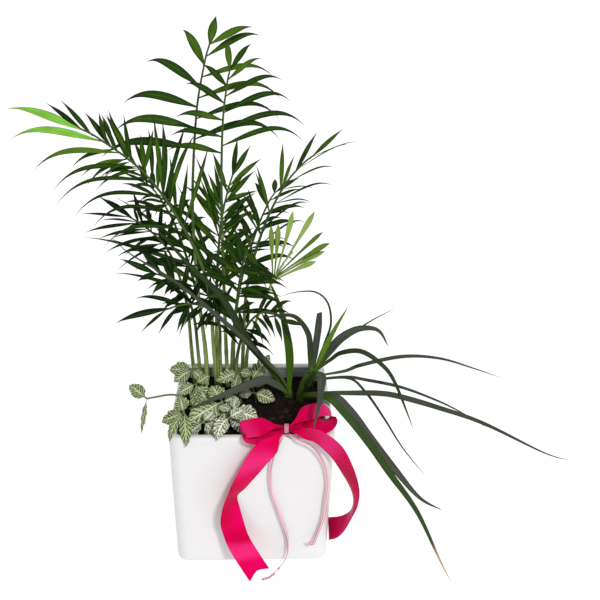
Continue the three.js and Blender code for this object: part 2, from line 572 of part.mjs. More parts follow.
/** One frond: its cane and rib with the leaflets along both sides. */
function palmFrond(frond) {
  const rib = ribs.get(frond.name);
  const random = seeded(frond.seed);
  const pieces = [placed.find((other) => other.name === frond.name).shape];
  for (const place of leafletPlaces(frond)) {
    const found = settle(frond.name, leaflet(frond, rib, place, random));
    if (found) {
      pieces.push(found);
    }
  }
  return joined(pieces);
}

// ---- Dracaena -----------------------------------------------------------------------------------------

/** One strap leaf along its line, for a bend and an extra thickness. */
function strap(leaf, stalk) {
  const root = stalk.getPointAt(leaf.at);
  const curve = new THREE.CatmullRomCurve3([root, ...leaf.path.map(point)], false, 'catmullrom', 0.5);
  const steps = Math.max(STRAP.fewest, Math.round(curve.getLength() / STRAP.step));
  const places = Array.from({ length: steps + 1 }, (_, i) => i / steps);
  const face = point(leaf.face);
  return ([bend, share], extra) => {
    const sway = bend * STRAP.sway;
    const line = places.map((s) => curve.getPointAt(s * share).addScaledVector(face, sway * s * s));
    const faces = places.map(() => face);
    const halves = places.map((s) => (leaf.width / 2) * strapWidth(s, leaf.blunt));
    return blade(places, line, faces, halves, STRAP.thick + extra, STRAP.fold);
  };
}

/** The width of a strap leaf along its length: full from near its foot, then drawn out to a point. */
function strapWidth(s, blunt) {
  const { root, full, taper, power, cutFull, cutEnd } = STRAP_OUTLINE;
  if (blunt) {
    return s === 1 ? cutEnd : between(root, 1, Math.min(1, s / cutFull));
  }
  const swell = between(root, 1, Math.min(1, s / full));
  return s === 1 ? 0 : swell * Math.min(1, taper * (1 - s) ** power);
}

/** One shoot: its stalk and its leaves. */
function dracaenaShoot(shoot) {
  const stalk = stemLine(shoot.stalk);
  const pieces = [placed.find((other) => other.name === shoot.name).shape];
  for (const leaf of shoot.leaves) {
    const found = settle(shoot.name, strap(leaf, stalk));
    if (found) {
      pieces.push(found);
    }
  }
  return joined(pieces);
}

// ---- Fittonia -----------------------------------------------------------------------------------------

/** A function that makes one fittonia leaf for a bend and an extra thickness. */
function fittoniaLeaf(root, [direction, size, wide = SPRIG.wide], random) {
  const face = point(SPRIG_LOOK).add(new THREE.Vector3(random() - 0.5, random() - 0.5, random() - 0.5)
    .multiplyScalar(SPRIG.turn)).normalize();
  const right = new THREE.Vector3(0, 1, 0).cross(face).normalize();
  const heading = right.applyAxisAngle(face, THREE.MathUtils.degToRad(direction));
  return ([bend, share], extra) => {
    const length = size * share;
    const spine = SPRIG_BLADE.places.map((s) => root.clone().addScaledVector(heading, length * s)
      .addScaledVector(UP, -SPRIG.droop * length * s * s).addScaledVector(face, bend * length * s));
    const faces = spine.map((_, i) => face.clone().applyAxisAngle(heading, (i % 2 ? 1 : -1) * SPRIG.wave));
    const halves = SPRIG_BLADE.widths.map((w) => (w * length * wide) / 2);
    return blade(SPRIG_BLADE.places, spine, faces, halves, SPRIG.thick + extra, SPRIG.cup);
  };
}

/** One sprig: its stem and the leaves at its tip. */
function fittoniaSprig(sprig) {
  const tip = point(sprig.path[sprig.path.length - 1]);
  const random = seeded(sprig.name.length);
  const pieces = [placed.find((other) => other.name === sprig.name).shape];
  for (const leaf of sprig.leaves) {
    const found = settle(sprig.name, fittoniaLeaf(tip, leaf, random));
    if (found) {
      pieces.push(found);
    }
  }
  return joined(pieces);
}

// ---- Ribbon bow ---------------------------------------------------------------------------------------

/** A smooth curve through points. */
function smooth(points) {
  return new THREE.CatmullRomCurve3(points.map(point), false, 'catmullrom', 0.5);
}

/** How far open the ribbon is at a distance along a run that is gathered into the knot at one end or at both. */
function opened(distance, length, ends) {
  const near = ends === 2 ? Math.min(distance, length - distance) : distance;
  return THREE.MathUtils.clamp((near - RIBBON.neck) / RIBBON.flare, 0, 1);
}

/** A flat strip along a line: its width and thickness are functions of the distance, its end may be notched. */
function strip(run, step, width, thick, notch) {
  const middle = smooth(run.line);
  const cross = smooth(run.across);
  const length = middle.getLength();
  const steps = Math.round(length / step);
  const rings = [];
  for (let i = 0; i <= steps; i++) {
    const distance = (i / steps) * length;
    const share = middle.getUtoTmapping(i / steps);
    const tangent = middle.getTangent(share);
    const across = cross.getPoint(share);
    across.addScaledVector(tangent, -across.dot(tangent)).normalize();
    const normal = tangent.clone().cross(across).normalize();
    const centre = middle.getPoint(share);
    const cut = i === steps ? notch : 0;
    const halfWidth = width(distance, length) / 2;
    const halfThick = thick(distance, length) / 2;
    const at = (side, level, back) => centre.clone().addScaledVector(across, side * halfWidth)
      .addScaledVector(normal, level * halfThick).addScaledVector(tangent, -back);
    rings.push([at(0, 1, cut), at(1, 1, 0), at(1, -1, 0), at(0, -1, cut), at(-1, -1, 0), at(-1, 1, 0)]);
  }
  return solid(skin(rings));
}

/** One run of the bow's ribbon: gathered and thick at the knot, flat and wide beyond it. */
function ribbonRun(run) {
  const width = (at, length) => between(RIBBON.waist, RIBBON.width, opened(at, length, run.ends));
  const thick = (at, length) => between(RIBBON.gather, RIBBON.thick, opened(at, length, run.ends));
  return strip(run, RIBBON.step, width, thick, run.ends === 1 ? RIBBON.notch : 0);
}

/** The bow: two loops and two tails joined at the gathered knot. */
function bow() {
  const core = new THREE.CylinderGeometry(RIBBON.core, RIBBON.core, RIBBON.knot, RIBBON.sides);
  core.rotateZ(Math.PI / 2);
  core.translate(...KNOT);
  return joined([solid(core), ...RUNS.map(ribbonRun)]);
}

/** The band of thin ribbon round the knot. */
function tieBand() {
  const half = TIE.band / 2;
  const outer = TIE.radius + TIE.thick;
  const wall = [[TIE.radius, -half], [outer, -half], [outer, half], [TIE.radius, half], [TIE.radius, -half]];
  const band = new THREE.LatheGeometry(wall.map(([x, y]) => new THREE.Vector2(x, y)), TIE.sides);
  band.rotateZ(Math.PI / 2);
  band.translate(...KNOT);
  return solid(band);
}

/** A hanging end of the thin ribbon. */
function tieEnd(end) {
  return strip(end, TIE.step, () => TIE.width, () => TIE.thick, 0);
}

// ---- The whole planting -------------------------------------------------------------------------------

const feet = [
  ...FRONDS.map((frond) => [...frond.path[0], PALM.stem]),
  ...SHOOTS.map((shoot) => [...shoot.stalk[0], STRAP.stalk]),
  ...SPRIGS.map((sprig) => [...sprig.path[0], SPRIG.stem]),
];

node('pot', surface(keep(pot(), 'pot')), 0xf2f0ee, 0.18);
node('soil', surface(keep(soil(feet), 'soil')), 0x2a1d16, 0.95);

node('ribbon_bow', surface(keep(bow(), 'ribbon_bow')), 0xd8105c, 0.35);
node('tie_band', surface(keep(tieBand(), 'tie_band')), 0xdcaab4, 0.3, 0.4);
for (const end of TIE_ENDS) {
  node(end.name, surface(keep(tieEnd(end), end.name)), 0xdcaab4, 0.3, 0.4);
}

for (const shoot of SHOOTS) {
  keep(stem(stemLine(shoot.stalk), STRAP.stalk, STRAP.top, STRAP.sides, STRAP.rings), shoot.name);
}
for (const sprig of SPRIGS) {
  keep(stem(stemLine(sprig.path), SPRIG.stem, SPRIG.tip, SPRIG.sides, SPRIG.steps), sprig.name);
}
for (const frond of FRONDS) {
  keep(stem(ribs.get(frond.name), PALM.stem, PALM.tip, PALM.sides, PALM.steps), frond.name);
}

for (const shoot of SHOOTS) {
  node(shoot.name, surface(dracaenaShoot(shoot)), 0x2f4a1c, 0.45);
}
for (const sprig of SPRIGS) {
  node(sprig.name, surface(fittoniaSprig(sprig)), 0x9db877, 0.55);
}
for (const frond of FRONDS) {
  node(frond.name, surface(palmFrond(frond)), 0x2c5a1a, 0.5);
}

export default group;
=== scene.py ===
"""A square white pot planted with a parlour palm, a strap-leaved dracaena and white-veined fittonia.

A crimson satin bow, tied with a thin pale ribbon, hangs from the front rim. The tables are in millimetres and
are turned to metres where a mesh is made; +Z is up and the front of the pot faces -Y.
"""

import logging
import math
from dataclasses import dataclass, field, replace
from enum import Enum
from typing import Any, Callable, Iterator, Sequence

import bmesh
import bpy
import numpy as np
from mathutils import Matrix, Vector
from mathutils.kdtree import KDTree


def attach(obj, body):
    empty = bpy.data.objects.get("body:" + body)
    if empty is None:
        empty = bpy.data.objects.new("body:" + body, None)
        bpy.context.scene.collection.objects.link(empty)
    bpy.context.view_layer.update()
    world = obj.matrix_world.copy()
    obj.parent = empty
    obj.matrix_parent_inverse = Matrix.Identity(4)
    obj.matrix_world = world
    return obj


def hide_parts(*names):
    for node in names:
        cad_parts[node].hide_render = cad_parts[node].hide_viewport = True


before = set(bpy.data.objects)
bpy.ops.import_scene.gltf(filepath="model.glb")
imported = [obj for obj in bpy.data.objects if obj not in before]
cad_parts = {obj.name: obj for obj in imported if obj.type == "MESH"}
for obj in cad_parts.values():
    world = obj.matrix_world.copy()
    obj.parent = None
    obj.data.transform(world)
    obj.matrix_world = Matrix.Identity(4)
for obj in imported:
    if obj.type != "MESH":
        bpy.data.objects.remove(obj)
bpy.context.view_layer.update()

log = logging.getLogger("planting")

Array = np.ndarray
Number = Array | float
Pair = tuple[float, float]
Triple = tuple[float, float, float]
Piece = bpy.types.Object
Material = bpy.types.Material
Socket = bpy.types.NodeSocket

MM = 0.001
UP = np.array([0.0, 0.0, 1.0])

# ---- Driving dimensions, in millimetres ----

POT_TOP, POT_BASE, POT_HEIGHT, POT_WALL, POT_FLOOR = 140.0, 133.0, 130.0, 7.0, 9.0
POT_CORNER, POT_LIP, POT_FOOT, POT_FILLET = 11.0, 2.2, 5.0, 4.0
SOIL_LEVEL, SOIL_BOTTOM, SOIL_LUMP, SOIL_GAP = 119.0, 14.0, 0.9, 0.3
ROOT_DEPTH, STEM_CLEAR = 20.0, 3.0
STRAP_SWAY = 60.0


class Slot(Enum):
    """The material slots of the record."""

    POT = "pot_glaze"
    SOIL = "soil"
    PALM = "palm_green"
    DRACAENA = "dracaena_green"
    FITTONIA = "fittonia_green"
    BOW = "bow_ribbon"
    TIE = "tie_ribbon"


# ---- Small geometry helpers ----


def unit(v: Array) -> Array:
    """Scales a vector, or each row of several, to length one."""
    return v / np.maximum(np.linalg.norm(v, axis=-1, keepdims=True), 1e-12)


def ease(x: Number, low: float, high: float) -> Number:
    """A smooth step from 0 at low to 1 at high."""
    t = np.clip((x - low) / (high - low), 0, 1)
    return t * t * (3 - 2 * t)


def between(start: float, end: float, share: Number) -> Number:
    """The number a share of the way from one to another."""
    return start + (end - start) * share


def turned(v: Array, axis: Array, angle: Number) -> Array:
    """Turns a vector about a unit axis.

    Args:
        v: the vector, or one for each angle.
        axis: the unit axis.
        angle: the angle in radians, or several.

    Returns:
        The turned vector, or one row for each angle.
    """
    c = np.cos(np.atleast_1d(angle))[:, None]
    s = np.sin(np.atleast_1d(angle))[:, None]
    rows = v * c + np.cross(axis, v) * s + axis * (axis @ v) * (1 - c)
    return rows if np.ndim(angle) else rows[0]


def toned(value: float) -> float:
    """A leaf's own shade, kept within what its finish tells apart."""
    return float(np.clip(value, 0.02, 1))


def smoothed(values: Array) -> Array:
    """Rounds the corners of a run of numbers, keeping its ends."""
    inner = (values[:-2] + 2 * values[1:-1] + values[2:]) / 4
    return np.concatenate([values[:1], inner, values[-1:]])


class Draws:
    """A repeatable run of numbers between 0 and 1."""

    SPREAD, FACTOR, MODULUS = 7919, 16807, 2147483647

    def __init__(self, seed: int) -> None:
        """Starts the run from a seed."""
        self.state = seed * self.SPREAD + 1

    def __call__(self) -> float:
        """The next number."""
        self.state = self.state * self.FACTOR % self.MODULUS
        return self.state / self.MODULUS

    def either(self, size: float) -> float:
        """The next number, spread evenly about 0 over a range of this size."""
        return (self() - 0.5) * size


class Line:
    """A smooth line through points, measured along its length."""

    SAMPLES = 200
    DELTA = 1e-4

    def __init__(self, points: Sequence[Sequence[float]]) -> None:
        """Keeps the points and measures the line.

        Args:
            points: the places that the line runs through, in millimetres.
        """
        self.points = np.array(points, float)
        self.knots = np.linspace(0, 1, self.SAMPLES + 1)
        steps = np.linalg.norm(np.diff(self.point(self.knots), axis=0), axis=1)
        self.lengths = np.concatenate([[0], np.cumsum(steps)])
        self.length = float(self.lengths[-1])

    def point(self, t: Number) -> Array:
        """The places at shares of the count of points.

        Args:
            t: shares from 0 to 1.

        Returns:
            One row for each share.
        """
        p = self.points
        padded = np.vstack([2 * p[0] - p[1], p, 2 * p[-1] - p[-2]])
        x = np.clip(np.atleast_1d(t), 0, 1) * (len(p) - 1)
        i = np.minimum(x.astype(int), len(p) - 2)
        w = (x - i)[:, None]
        a, b, c, d = (padded[i + k] for k in range(4))
        m, n = 0.5 * (c - a), 0.5 * (d - b)
        return b + m * w + (3 * (c - b) - 2 * m - n) * w**2 + (2 * (b - c) + m + n) * w**3

    def share(self, along: Number) -> Array:
        """The shares of the count of points at shares of the length."""
        return np.interp(np.atleast_1d(along) * self.length, self.lengths, self.knots)

    def at(self, along: Number) -> Array:
        """The places at shares of the length, one row each."""
        return self.point(self.share(along))

    def heading(self, along: Number) -> Array:
        """The directions at shares of the length, one row each."""
        t = self.share(along)
        return unit(self.point(t + self.DELTA) - self.point(t - self.DELTA))

    def chord(self, along: float, steps: int) -> Array:
        """The place on the line when it is made in straight steps.

        Args:
            along: the share of the length.
            steps: the number of steps.

        Returns:
            The place.
        """
        step = min(int(along * steps), steps - 1)
        a, b = self.at(np.array([step, step + 1]) / steps)
        return a + (b - a) * (along * steps - step)


def stem_line(path: Sequence[Sequence[float]]) -> Line:
    """A stem's line: its foot under the soil, then up through the soil and along its points."""
    x, y = path[0]
    return Line([(x, y, SOIL_LEVEL - ROOT_DEPTH), (x, y, SOIL_LEVEL + STEM_CLEAR), *path[1:]])


def stem_rings(line: Line, radii: Array, sides: int) -> Array:
    """The rings of a round stem.

    Args:
        line: the stem's line.
        radii: the radius of each ring, evenly spaced along the line.
        sides: the corners of a ring.

    Returns:
        The corners by ring and by place round the ring.
    """
    shares = np.linspace(0, 1, len(radii))
    headings = line.heading(shares)
    forward = unit(np.cross(np.array([1.0, 0, 0]), headings))[:, None]
    across = np.cross(headings[:, None], forward)
    angles = np.linspace(0, math.tau, sides, endpoint=False)[None, :, None]
    round_ = across * np.cos(angles) + forward * np.sin(angles)
    return line.at(shares)[:, None] + round_ * radii[:, None, None]


# ---- Meshes ----


def linked(name: str, data: bpy.types.ID) -> Piece:
    """Makes an object and links it to the scene.

    Args:
        name: its name.
        data: the mesh, curve, camera or light that it shows.

    Returns:
        The object.
    """
    made = bpy.data.objects.new(name, data)
    bpy.context.scene.collection.objects.link(made)
    return made


def keep(mesh: bpy.types.Mesh, name: str, values: Array) -> None:
    """Keeps a number for each corner of a mesh, for its finish to read."""
    layer = mesh.attributes.new(name, "FLOAT", "POINT")
    layer.data.foreach_set("value", values.astype(np.float32))


def outwards(mesh: bpy.types.Mesh) -> None:
    """Turns the faces of a mesh outwards.

    Args:
        mesh: the mesh, one or more closed skins.
    """
    work = bmesh.new()
    work.from_mesh(mesh)
    bmesh.ops.recalc_face_normals(work, faces=work.faces)
    work.to_mesh(mesh)
    work.free()


@dataclass
class Draft:
    """A mesh under construction: corners, faces and the values that its finish reads at each corner."""

    names: tuple[str, ...] = ("across", "along", "tone", "under")
    points: list[Array] = field(default_factory=list)
    faces: list[list[int]] = field(default_factory=list)
    finishes: list[int] = field(default_factory=list)
    count: int = 0

    def __post_init__(self) -> None:
        """Starts the values of each name."""
        self.values: dict[str, list[Array]] = {name: [] for name in self.names}

    def rings(self, rings: Array, finish: int = 0, tip: Array | None = None, hoop: bool = False,
              **values: Any) -> None:
        """Adds the closed skin over rings of equal count.

        Args:
            rings: the corners, by ring and by place round the ring, in millimetres.
            finish: the number of the material.
            tip: where the skin runs together in one point, if it does.
            hoop: whether the last ring runs on to the first one.
            values: for each name a number, or one for each corner; the last one also stands for the tip.
        """
        n, m = rings.shape[:2]
        corners = rings.reshape(-1, 3)
        index = self.count + np.arange(n * m).reshape(n, m)
        beside = np.roll(index, -1, axis=1)
        quads = np.stack([index, beside, np.roll(beside, -1, axis=0), np.roll(index, -1, axis=0)], axis=-1)
        faces = quads[:n if hoop else n - 1].reshape(-1, 4).tolist()
        if not hoop:
            faces.append(index[0][::-1].tolist())
        if tip is not None:
            corners = np.vstack([corners, tip[None]])
            faces += [[a, b, self.count + n * m] for a, b in zip(index[-1].tolist(), beside[-1].tolist())]
        elif not hoop:
            faces.append(index[-1].tolist())
        self.points.append(corners)
        self.faces += faces
        self.finishes += [finish] * len(faces)
        for name in self.names:
            given = np.ravel(values.get(name, 0.0)).astype(float)
            self.values[name].append(np.pad(given, (0, len(corners) - len(given)), "edge"))
        self.count += len(corners)

    def build(self, name: str, *materials: Material) -> Piece:
        """Makes the object, in metres, with its faces outwards and smooth.

        Args:
            name: the name of the piece.
            materials: its materials, by number.

        Returns:
            The new object, linked to the scene.
        """
        mesh = bpy.data.meshes.new(name)
        mesh.from_pydata((np.vstack(self.points) * MM).tolist(), [], self.faces)
        for key, values in self.values.items():
            keep(mesh, key, np.concatenate(values))
        for material in materials:
            mesh.materials.append(material)
        mesh.polygons.foreach_set("material_index", np.array(self.finishes, np.int32))
        outwards(mesh)
        mesh.polygons.foreach_set("use_smooth", np.ones(len(mesh.polygons), bool))
        mesh.update()
        return linked(name, mesh)


def settle(piece: Piece, slot: Slot, *nodes: str) -> None:
    """Puts a finished piece on the body, in the place of its nodes, and reports it.

    Args:
        piece: the finished object.
        slot: the record's slot; not used.
        nodes: the nodes that it stands for.
    """
    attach(piece, "root")
    if nodes:
        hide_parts(*nodes)
    log.info("%s: %d faces", piece.name, len(piece.data.polygons))


# ---- Node trees ----


def operators(operation: str) -> tuple[Callable[..., "Value"], Callable[..., "Value"]]:
    """The methods of Value for an operator as it is written and for its reflected form."""
    return (lambda value, other: value.math(operation, value, other),
            lambda value, other: value.math(operation, other, value))


class Value:
    """A number in a node tree, which arithmetic adds nodes to."""

    __add__, __radd__ = operators("ADD")
    __sub__, __rsub__ = operators("SUBTRACT")
    __mul__, __rmul__ = operators("MULTIPLY")
    __truediv__, __rtruediv__ = operators("DIVIDE")
    __pow__, __rpow__ = operators("POWER")

    def __init__(self, nodes: "Nodes", socket: Socket) -> None:
        """Keeps the tree and the socket that gives the number."""
        self.nodes = nodes
        self.socket = socket

    def math(self, operation: str, a: Any, b: Any = 0.0) -> "Value":
        """The result of a Math node on two numbers."""
        made = self.nodes.add("ShaderNodeMath", {0: a, 1: b}, operation=operation)
        return Value(self.nodes, made.outputs[0])

    def __abs__(self) -> "Value":
        """The size of this number."""
        return self.math("ABSOLUTE", self)

    def most(self, other: Any) -> "Value":
        """The larger of this number and another."""
        return self.math("MAXIMUM", self, other)

    def below(self, other: Any) -> "Value":
        """One where this number is less than another, and otherwise 0."""
        return self.math("LESS_THAN", self, other)

    def sine(self) -> "Value":
        """The sine of this number."""
        return self.math("SINE", self)

    def fraction(self) -> "Value":
        """The part of this number after the point."""
        return self.math("FRACT", self)

    def smooth(self, low: float, high: float) -> "Value":
        """A smooth step between two numbers.

        Args:
            low: where it is 0.
            high: where it is 1, which may lie below the other.

        Returns:
            The step, from 0 to 1.
        """
        ends = {1: min(low, high), 2: max(low, high), 3: float(low > high), 4: float(low <= high)}
        made = self.nodes.add("ShaderNodeMapRange", {0: self, **ends}, interpolation_type="SMOOTHSTEP")
        return Value(self.nodes, made.outputs[0])


class Nodes:
    """A node tree under construction, whose nodes all come from one method."""

    def __init__(self, tree: bpy.types.NodeTree) -> None:
        """Keeps the tree."""
        self.tree = tree

    def add(self, kind: str, inputs: dict[Any, Any] | None = None, **settings: Any) -> bpy.types.Node:
        """Adds a node, with its settings first.

        Args:
            kind: the node's type.
            inputs: the values or links of its sockets, by number or name.
            settings: its own settings, such as an operation; stops gives a ramp's places and colours.

        Returns:
            The new node.
        """
        node = self.tree.nodes.new(kind)
        for key, value in settings.items():
            if key == "stops":
                self.fill_ramp(node.color_ramp, value)
            else:
                setattr(node, key, value)
        for key, value in (inputs or {}).items():
            self.feed(node.inputs[key], value)
        return node

    def fill_ramp(self, ramp: bpy.types.ColorRamp, stops: Sequence[tuple[float, Triple]]) -> None:
        """Sets the stops of a colour ramp.

        Args:
            ramp: the ramp.
            stops: the place and colour of each stop.
        """
        while len(ramp.elements) < len(stops):
            ramp.elements.new(1.0)
        for element, (place, colour) in zip(ramp.elements, stops):
            element.position = place
            element.color = (*colour, 1.0)

    def feed(self, socket: Socket, value: Any) -> None:
        """Links a socket to what gives its value, or sets it.

        Args:
            socket: the socket.
            value: a number in a tree, another socket or a plain value.
        """
        if isinstance(value, Value):
            value = value.socket
        if isinstance(value, Socket):
            self.tree.links.new(value, socket)
        elif isinstance(value, tuple) and socket.type == "RGBA":
            socket.default_value = (*value, 1.0)
        else:
            socket.default_value = value


class Shader(Nodes):
    """A material with one Principled shader, and short ways to add what feeds it."""

    def __init__(self, name: str) -> None:
        """Makes the material with its shader and output.

        Args:
            name: the material's name.
        """
        self.material = bpy.data.materials.new(name)
        self.material.use_nodes = True
        super().__init__(self.material.node_tree)
        self.tree.nodes.clear()
        self.surface = self.add("ShaderNodeBsdfPrincipled")
        self.add("ShaderNodeOutputMaterial", {"Surface": self.surface.outputs[0]})

    def set(self, **inputs: Any) -> None:
        """Sets or links sockets of the Principled shader; an underscore stands for a space."""
        for key, value in inputs.items():
            self.feed(self.surface.inputs[key.replace("_", " ")], value)

    def kept(self, *names: str) -> list[Value]:
        """The numbers kept on the mesh under these names."""
        nodes = [self.add("ShaderNodeAttribute", attribute_name=name) for name in names]
        return [Value(self, node.outputs["Fac"]) for node in nodes]

    def place(self) -> Socket:
        """The place on the object, in metres."""
        return self.add("ShaderNodeTexCoord").outputs["Object"]

    def height(self) -> Value:
        """The height on the object, in metres."""
        return Value(self, self.add("ShaderNodeSeparateXYZ", {0: self.place()}).outputs["Z"])

    def vector(self, x: Any, y: Any, z: Any) -> Socket:
        """A vector from three numbers."""
        return self.add("ShaderNodeCombineXYZ", {0: x, 1: y, 2: z}).outputs[0]

    def noise(self, where: Any, scale: float, detail: float = 3.0, roughness: float = 0.5) -> Value:
        """Smooth noise from 0 to 1."""
        inputs = {"Vector": where, "Scale": scale, "Detail": detail, "Roughness": roughness}
        return Value(self, self.add("ShaderNodeTexNoise", inputs).outputs["Fac"])

    def cells(self, where: Any, scale: float, feature: str = "DISTANCE_TO_EDGE") -> Value:
        """The distance from the edges of a net of cells, or from their middles."""
        node = self.add("ShaderNodeTexVoronoi", {"Vector": where, "Scale": scale}, feature=feature)
        return Value(self, node.outputs["Distance"])

    def ramp(self, value: Value, *stops: tuple[float, Triple]) -> Socket:
        """A colour that follows a number."""
        return self.add("ShaderNodeValToRGB", {"Fac": value}, stops=stops).outputs["Color"]

    def mix(self, share: Any, a: Any, b: Any) -> Socket:
        """A colour part of the way from one to another."""
        return self.add("ShaderNodeMix", {0: share, 6: a, 7: b}, data_type="RGBA").outputs[2]

    def bump(self, height: Value, distance: float) -> None:
        """Gives the surface relief from a height between 0 and 1, where 1 stands this far up in metres."""
        self.set(Normal=self.add("ShaderNodeBump", {"Distance": distance, "Height": height}).outputs[0])


class Grower(Nodes):
    """A Geometry Nodes tree under construction, with named inputs."""

    def __init__(self, name: str, **inputs: str) -> None:
        """Makes the tree.

        Args:
            name: its name.
            inputs: the socket type of each input, whose name has a space for an underscore.
        """
        super().__init__(bpy.data.node_groups.new(name, "GeometryNodeTree"))
        sockets = self.tree.interface
        sockets.new_socket("Geometry", in_out="INPUT", socket_type="NodeSocketGeometry")
        for label, kind in inputs.items():
            sockets.new_socket(label.replace("_", " "), in_out="INPUT", socket_type=f"NodeSocket{kind}")
        sockets.new_socket("Geometry", in_out="OUTPUT", socket_type="NodeSocketGeometry")
        self.start = self.add("NodeGroupInput")

    def given(self, label: str) -> Value:
        """What an input gives, by its name."""
        return Value(self, self.start.outputs[label])

    def factor(self) -> Value:
        """How far along its curve each point is, from 0 to 1."""
        return Value(self, self.add("GeometryNodeSplineParameter").outputs["Factor"])

    def store(self, geometry: Any, label: str, value: Any) -> Socket:
        """Keeps a number at each point of a geometry.

        Args:
            geometry: the geometry.
            label: the name that the number is kept under.
            value: the number.

        Returns:
            The geometry with the number.
        """
        inputs = {"Geometry": geometry, "Name": label, "Value": value}
        kept = self.add("GeometryNodeStoreNamedAttribute", inputs, data_type="FLOAT", domain="POINT")
        return kept.outputs[0]

    def finish(self, geometry: Socket, material: Material) -> bpy.types.GeometryNodeTree:
        """Ends the tree in Realize Instances and Set Material.

        Args:
            geometry: what the tree has made.
            material: its material.

        Returns:
            The tree.
        """
        real = self.add("GeometryNodeRealizeInstances", {0: geometry}).outputs[0]
        dressed = self.add("GeometryNodeSetMaterial", {"Geometry": real, "Material": material})
        self.add("NodeGroupOutput", {0: dressed.outputs[0]})
        return self.tree


def plain_mesh(name: str, maker: Piece, tree: bpy.types.GeometryNodeTree, values: dict[str, Any]) -> Piece:
    """Runs a tree on an object, which is used up, and returns the result as a plain mesh.

    Args:
        name: the name of the result.
        maker: the object that the tree reads.
        tree: the Geometry Nodes tree.
        values: its inputs by name.

    Returns:
        A new object with no modifier.
    """
    modifier = maker.modifiers.new("shape", "NODES")
    modifier.node_group = tree
    for item in tree.interface.items_tree:
        if item.in_out == "INPUT" and item.name in values:
            modifier[item.identifier] = values[item.name]
    depsgraph = bpy.context.evaluated_depsgraph_get()
    mesh = bpy.data.meshes.new_from_object(maker.evaluated_get(depsgraph), depsgraph=depsgraph)
    mesh.name = name
    maker.modifiers.remove(modifier)
    bpy.data.objects.remove(maker)
    return linked(name, mesh)


# ---- Finishes ----


class Finish:
    """What all finishes share: a named material, painted by a method of their own."""

    label: str

    def material(self) -> Material:
        """Makes the material.

        Returns:
            The new material.
        """
        shader = Shader(self.label)
        self.paint(shader)
        return shader.material

    def paint(self, s: Shader) -> None:
        """Sets what feeds the shader of the material."""
        raise NotImplementedError


@dataclass(frozen=True)
class Glaze(Finish):
    """White pot glaze: glossy, faintly uneven, slightly darker in its specks and the lip's fine line; painted
    shade inside.
    """

    white: Triple = (0.71, 0.705, 0.71)
    thin: Triple = (0.64, 0.64, 0.645)
    # A grey-blue painted shade for the inside of the pot.
    painted_inner_shade: Triple = (0.2, 0.24, 0.25)
    cloud_scale: float = 14.0
    grain_scale: float = 90.0
    speck_scale: float = 260.0
    line_height: float = 0.1246
    line_width: float = 0.0012
    roughness: float = 0.2
    coat: float = 0.15
    ripple: float = 0.00012
    label = "white_glaze"

    def paint(self, s: Shader) -> None:
        """Sets what feeds the shader: the inside of the wall and floor, marked as under, takes a grey-blue
        painted shade.

        Args:
            s: the shader.
        """
        where, (under,) = s.place(), s.kept("under")
        clouds = s.noise(where, self.cloud_scale, 2.0)
        grain = s.noise(where, self.grain_scale, 2.0)
        specks = s.cells(where, self.speck_scale, "F1").smooth(0.12, 0.05)
        line = abs(s.height() - self.line_height).smooth(self.line_width, self.line_width / 6)
        colour = s.mix(clouds.smooth(0.35, 0.8) * 0.35, self.white, self.thin)
        colour = s.mix(specks * 0.12, colour, self.thin)
        # Painted shade: the inside of the wall and the floor, marked as under, turn grey-blue.
        colour = s.mix(under * (0.75 + grain * 0.25), colour, self.painted_inner_shade)
        colour = s.mix(line * 0.3, colour, self.thin)
        s.set(Base_Color=colour, Roughness=self.roughness + grain * 0.06, Coat_Weight=self.coat,
              Coat_Roughness=0.1, Specular_IOR_Level=0.4)
        s.bump(clouds * 0.75 + grain * 0.25, self.ripple)


@dataclass(frozen=True)
class Soil(Finish):
    """Dark potting soil: crumbs from near black to red brown, with a little pale grit."""

    black: Triple = (0.004, 0.003, 0.0025)
    brown: Triple = (0.055, 0.018, 0.011)
    grit: Triple = (0.3, 0.24, 0.19)
    patch_scale: float = 45.0
    clod_scale: float = 190.0
    crumb_scale: float = 230.0
    grit_scale: float = 380.0
    grain_scale: float = 420.0
    roughness: float = 0.86
    relief: float = 0.0015
    label = "potting_soil"

    def paint(self, s: Shader) -> None:
        """Sets what feeds the shader.

        Args:
            s: the shader.
        """
        where, (tone,) = s.place(), s.kept("tone")
        patches = s.noise(where, self.patch_scale, 4.0, 0.65).smooth(0.4, 0.62)
        clods = s.noise(where, self.clod_scale, 3.0, 0.6).smooth(0.52, 0.62)
        grain = s.noise(where, self.grain_scale, 5.0, 0.7)
        grit = s.cells(where, self.grit_scale, "F1").smooth(0.14, 0.06) * grain.smooth(0.58, 0.66)
        colour = s.mix(patches * (0.12 + clods * 0.88) + tone * 0.1, self.black, self.brown)
        colour = s.mix(grit * 0.5, colour, self.grit)
        s.set(Base_Color=colour, Roughness=self.roughness - grain * 0.1, Specular_IOR_Level=0.12)
        s.bump(grain * 0.6 + s.cells(where, self.crumb_scale) * 0.8, self.relief)


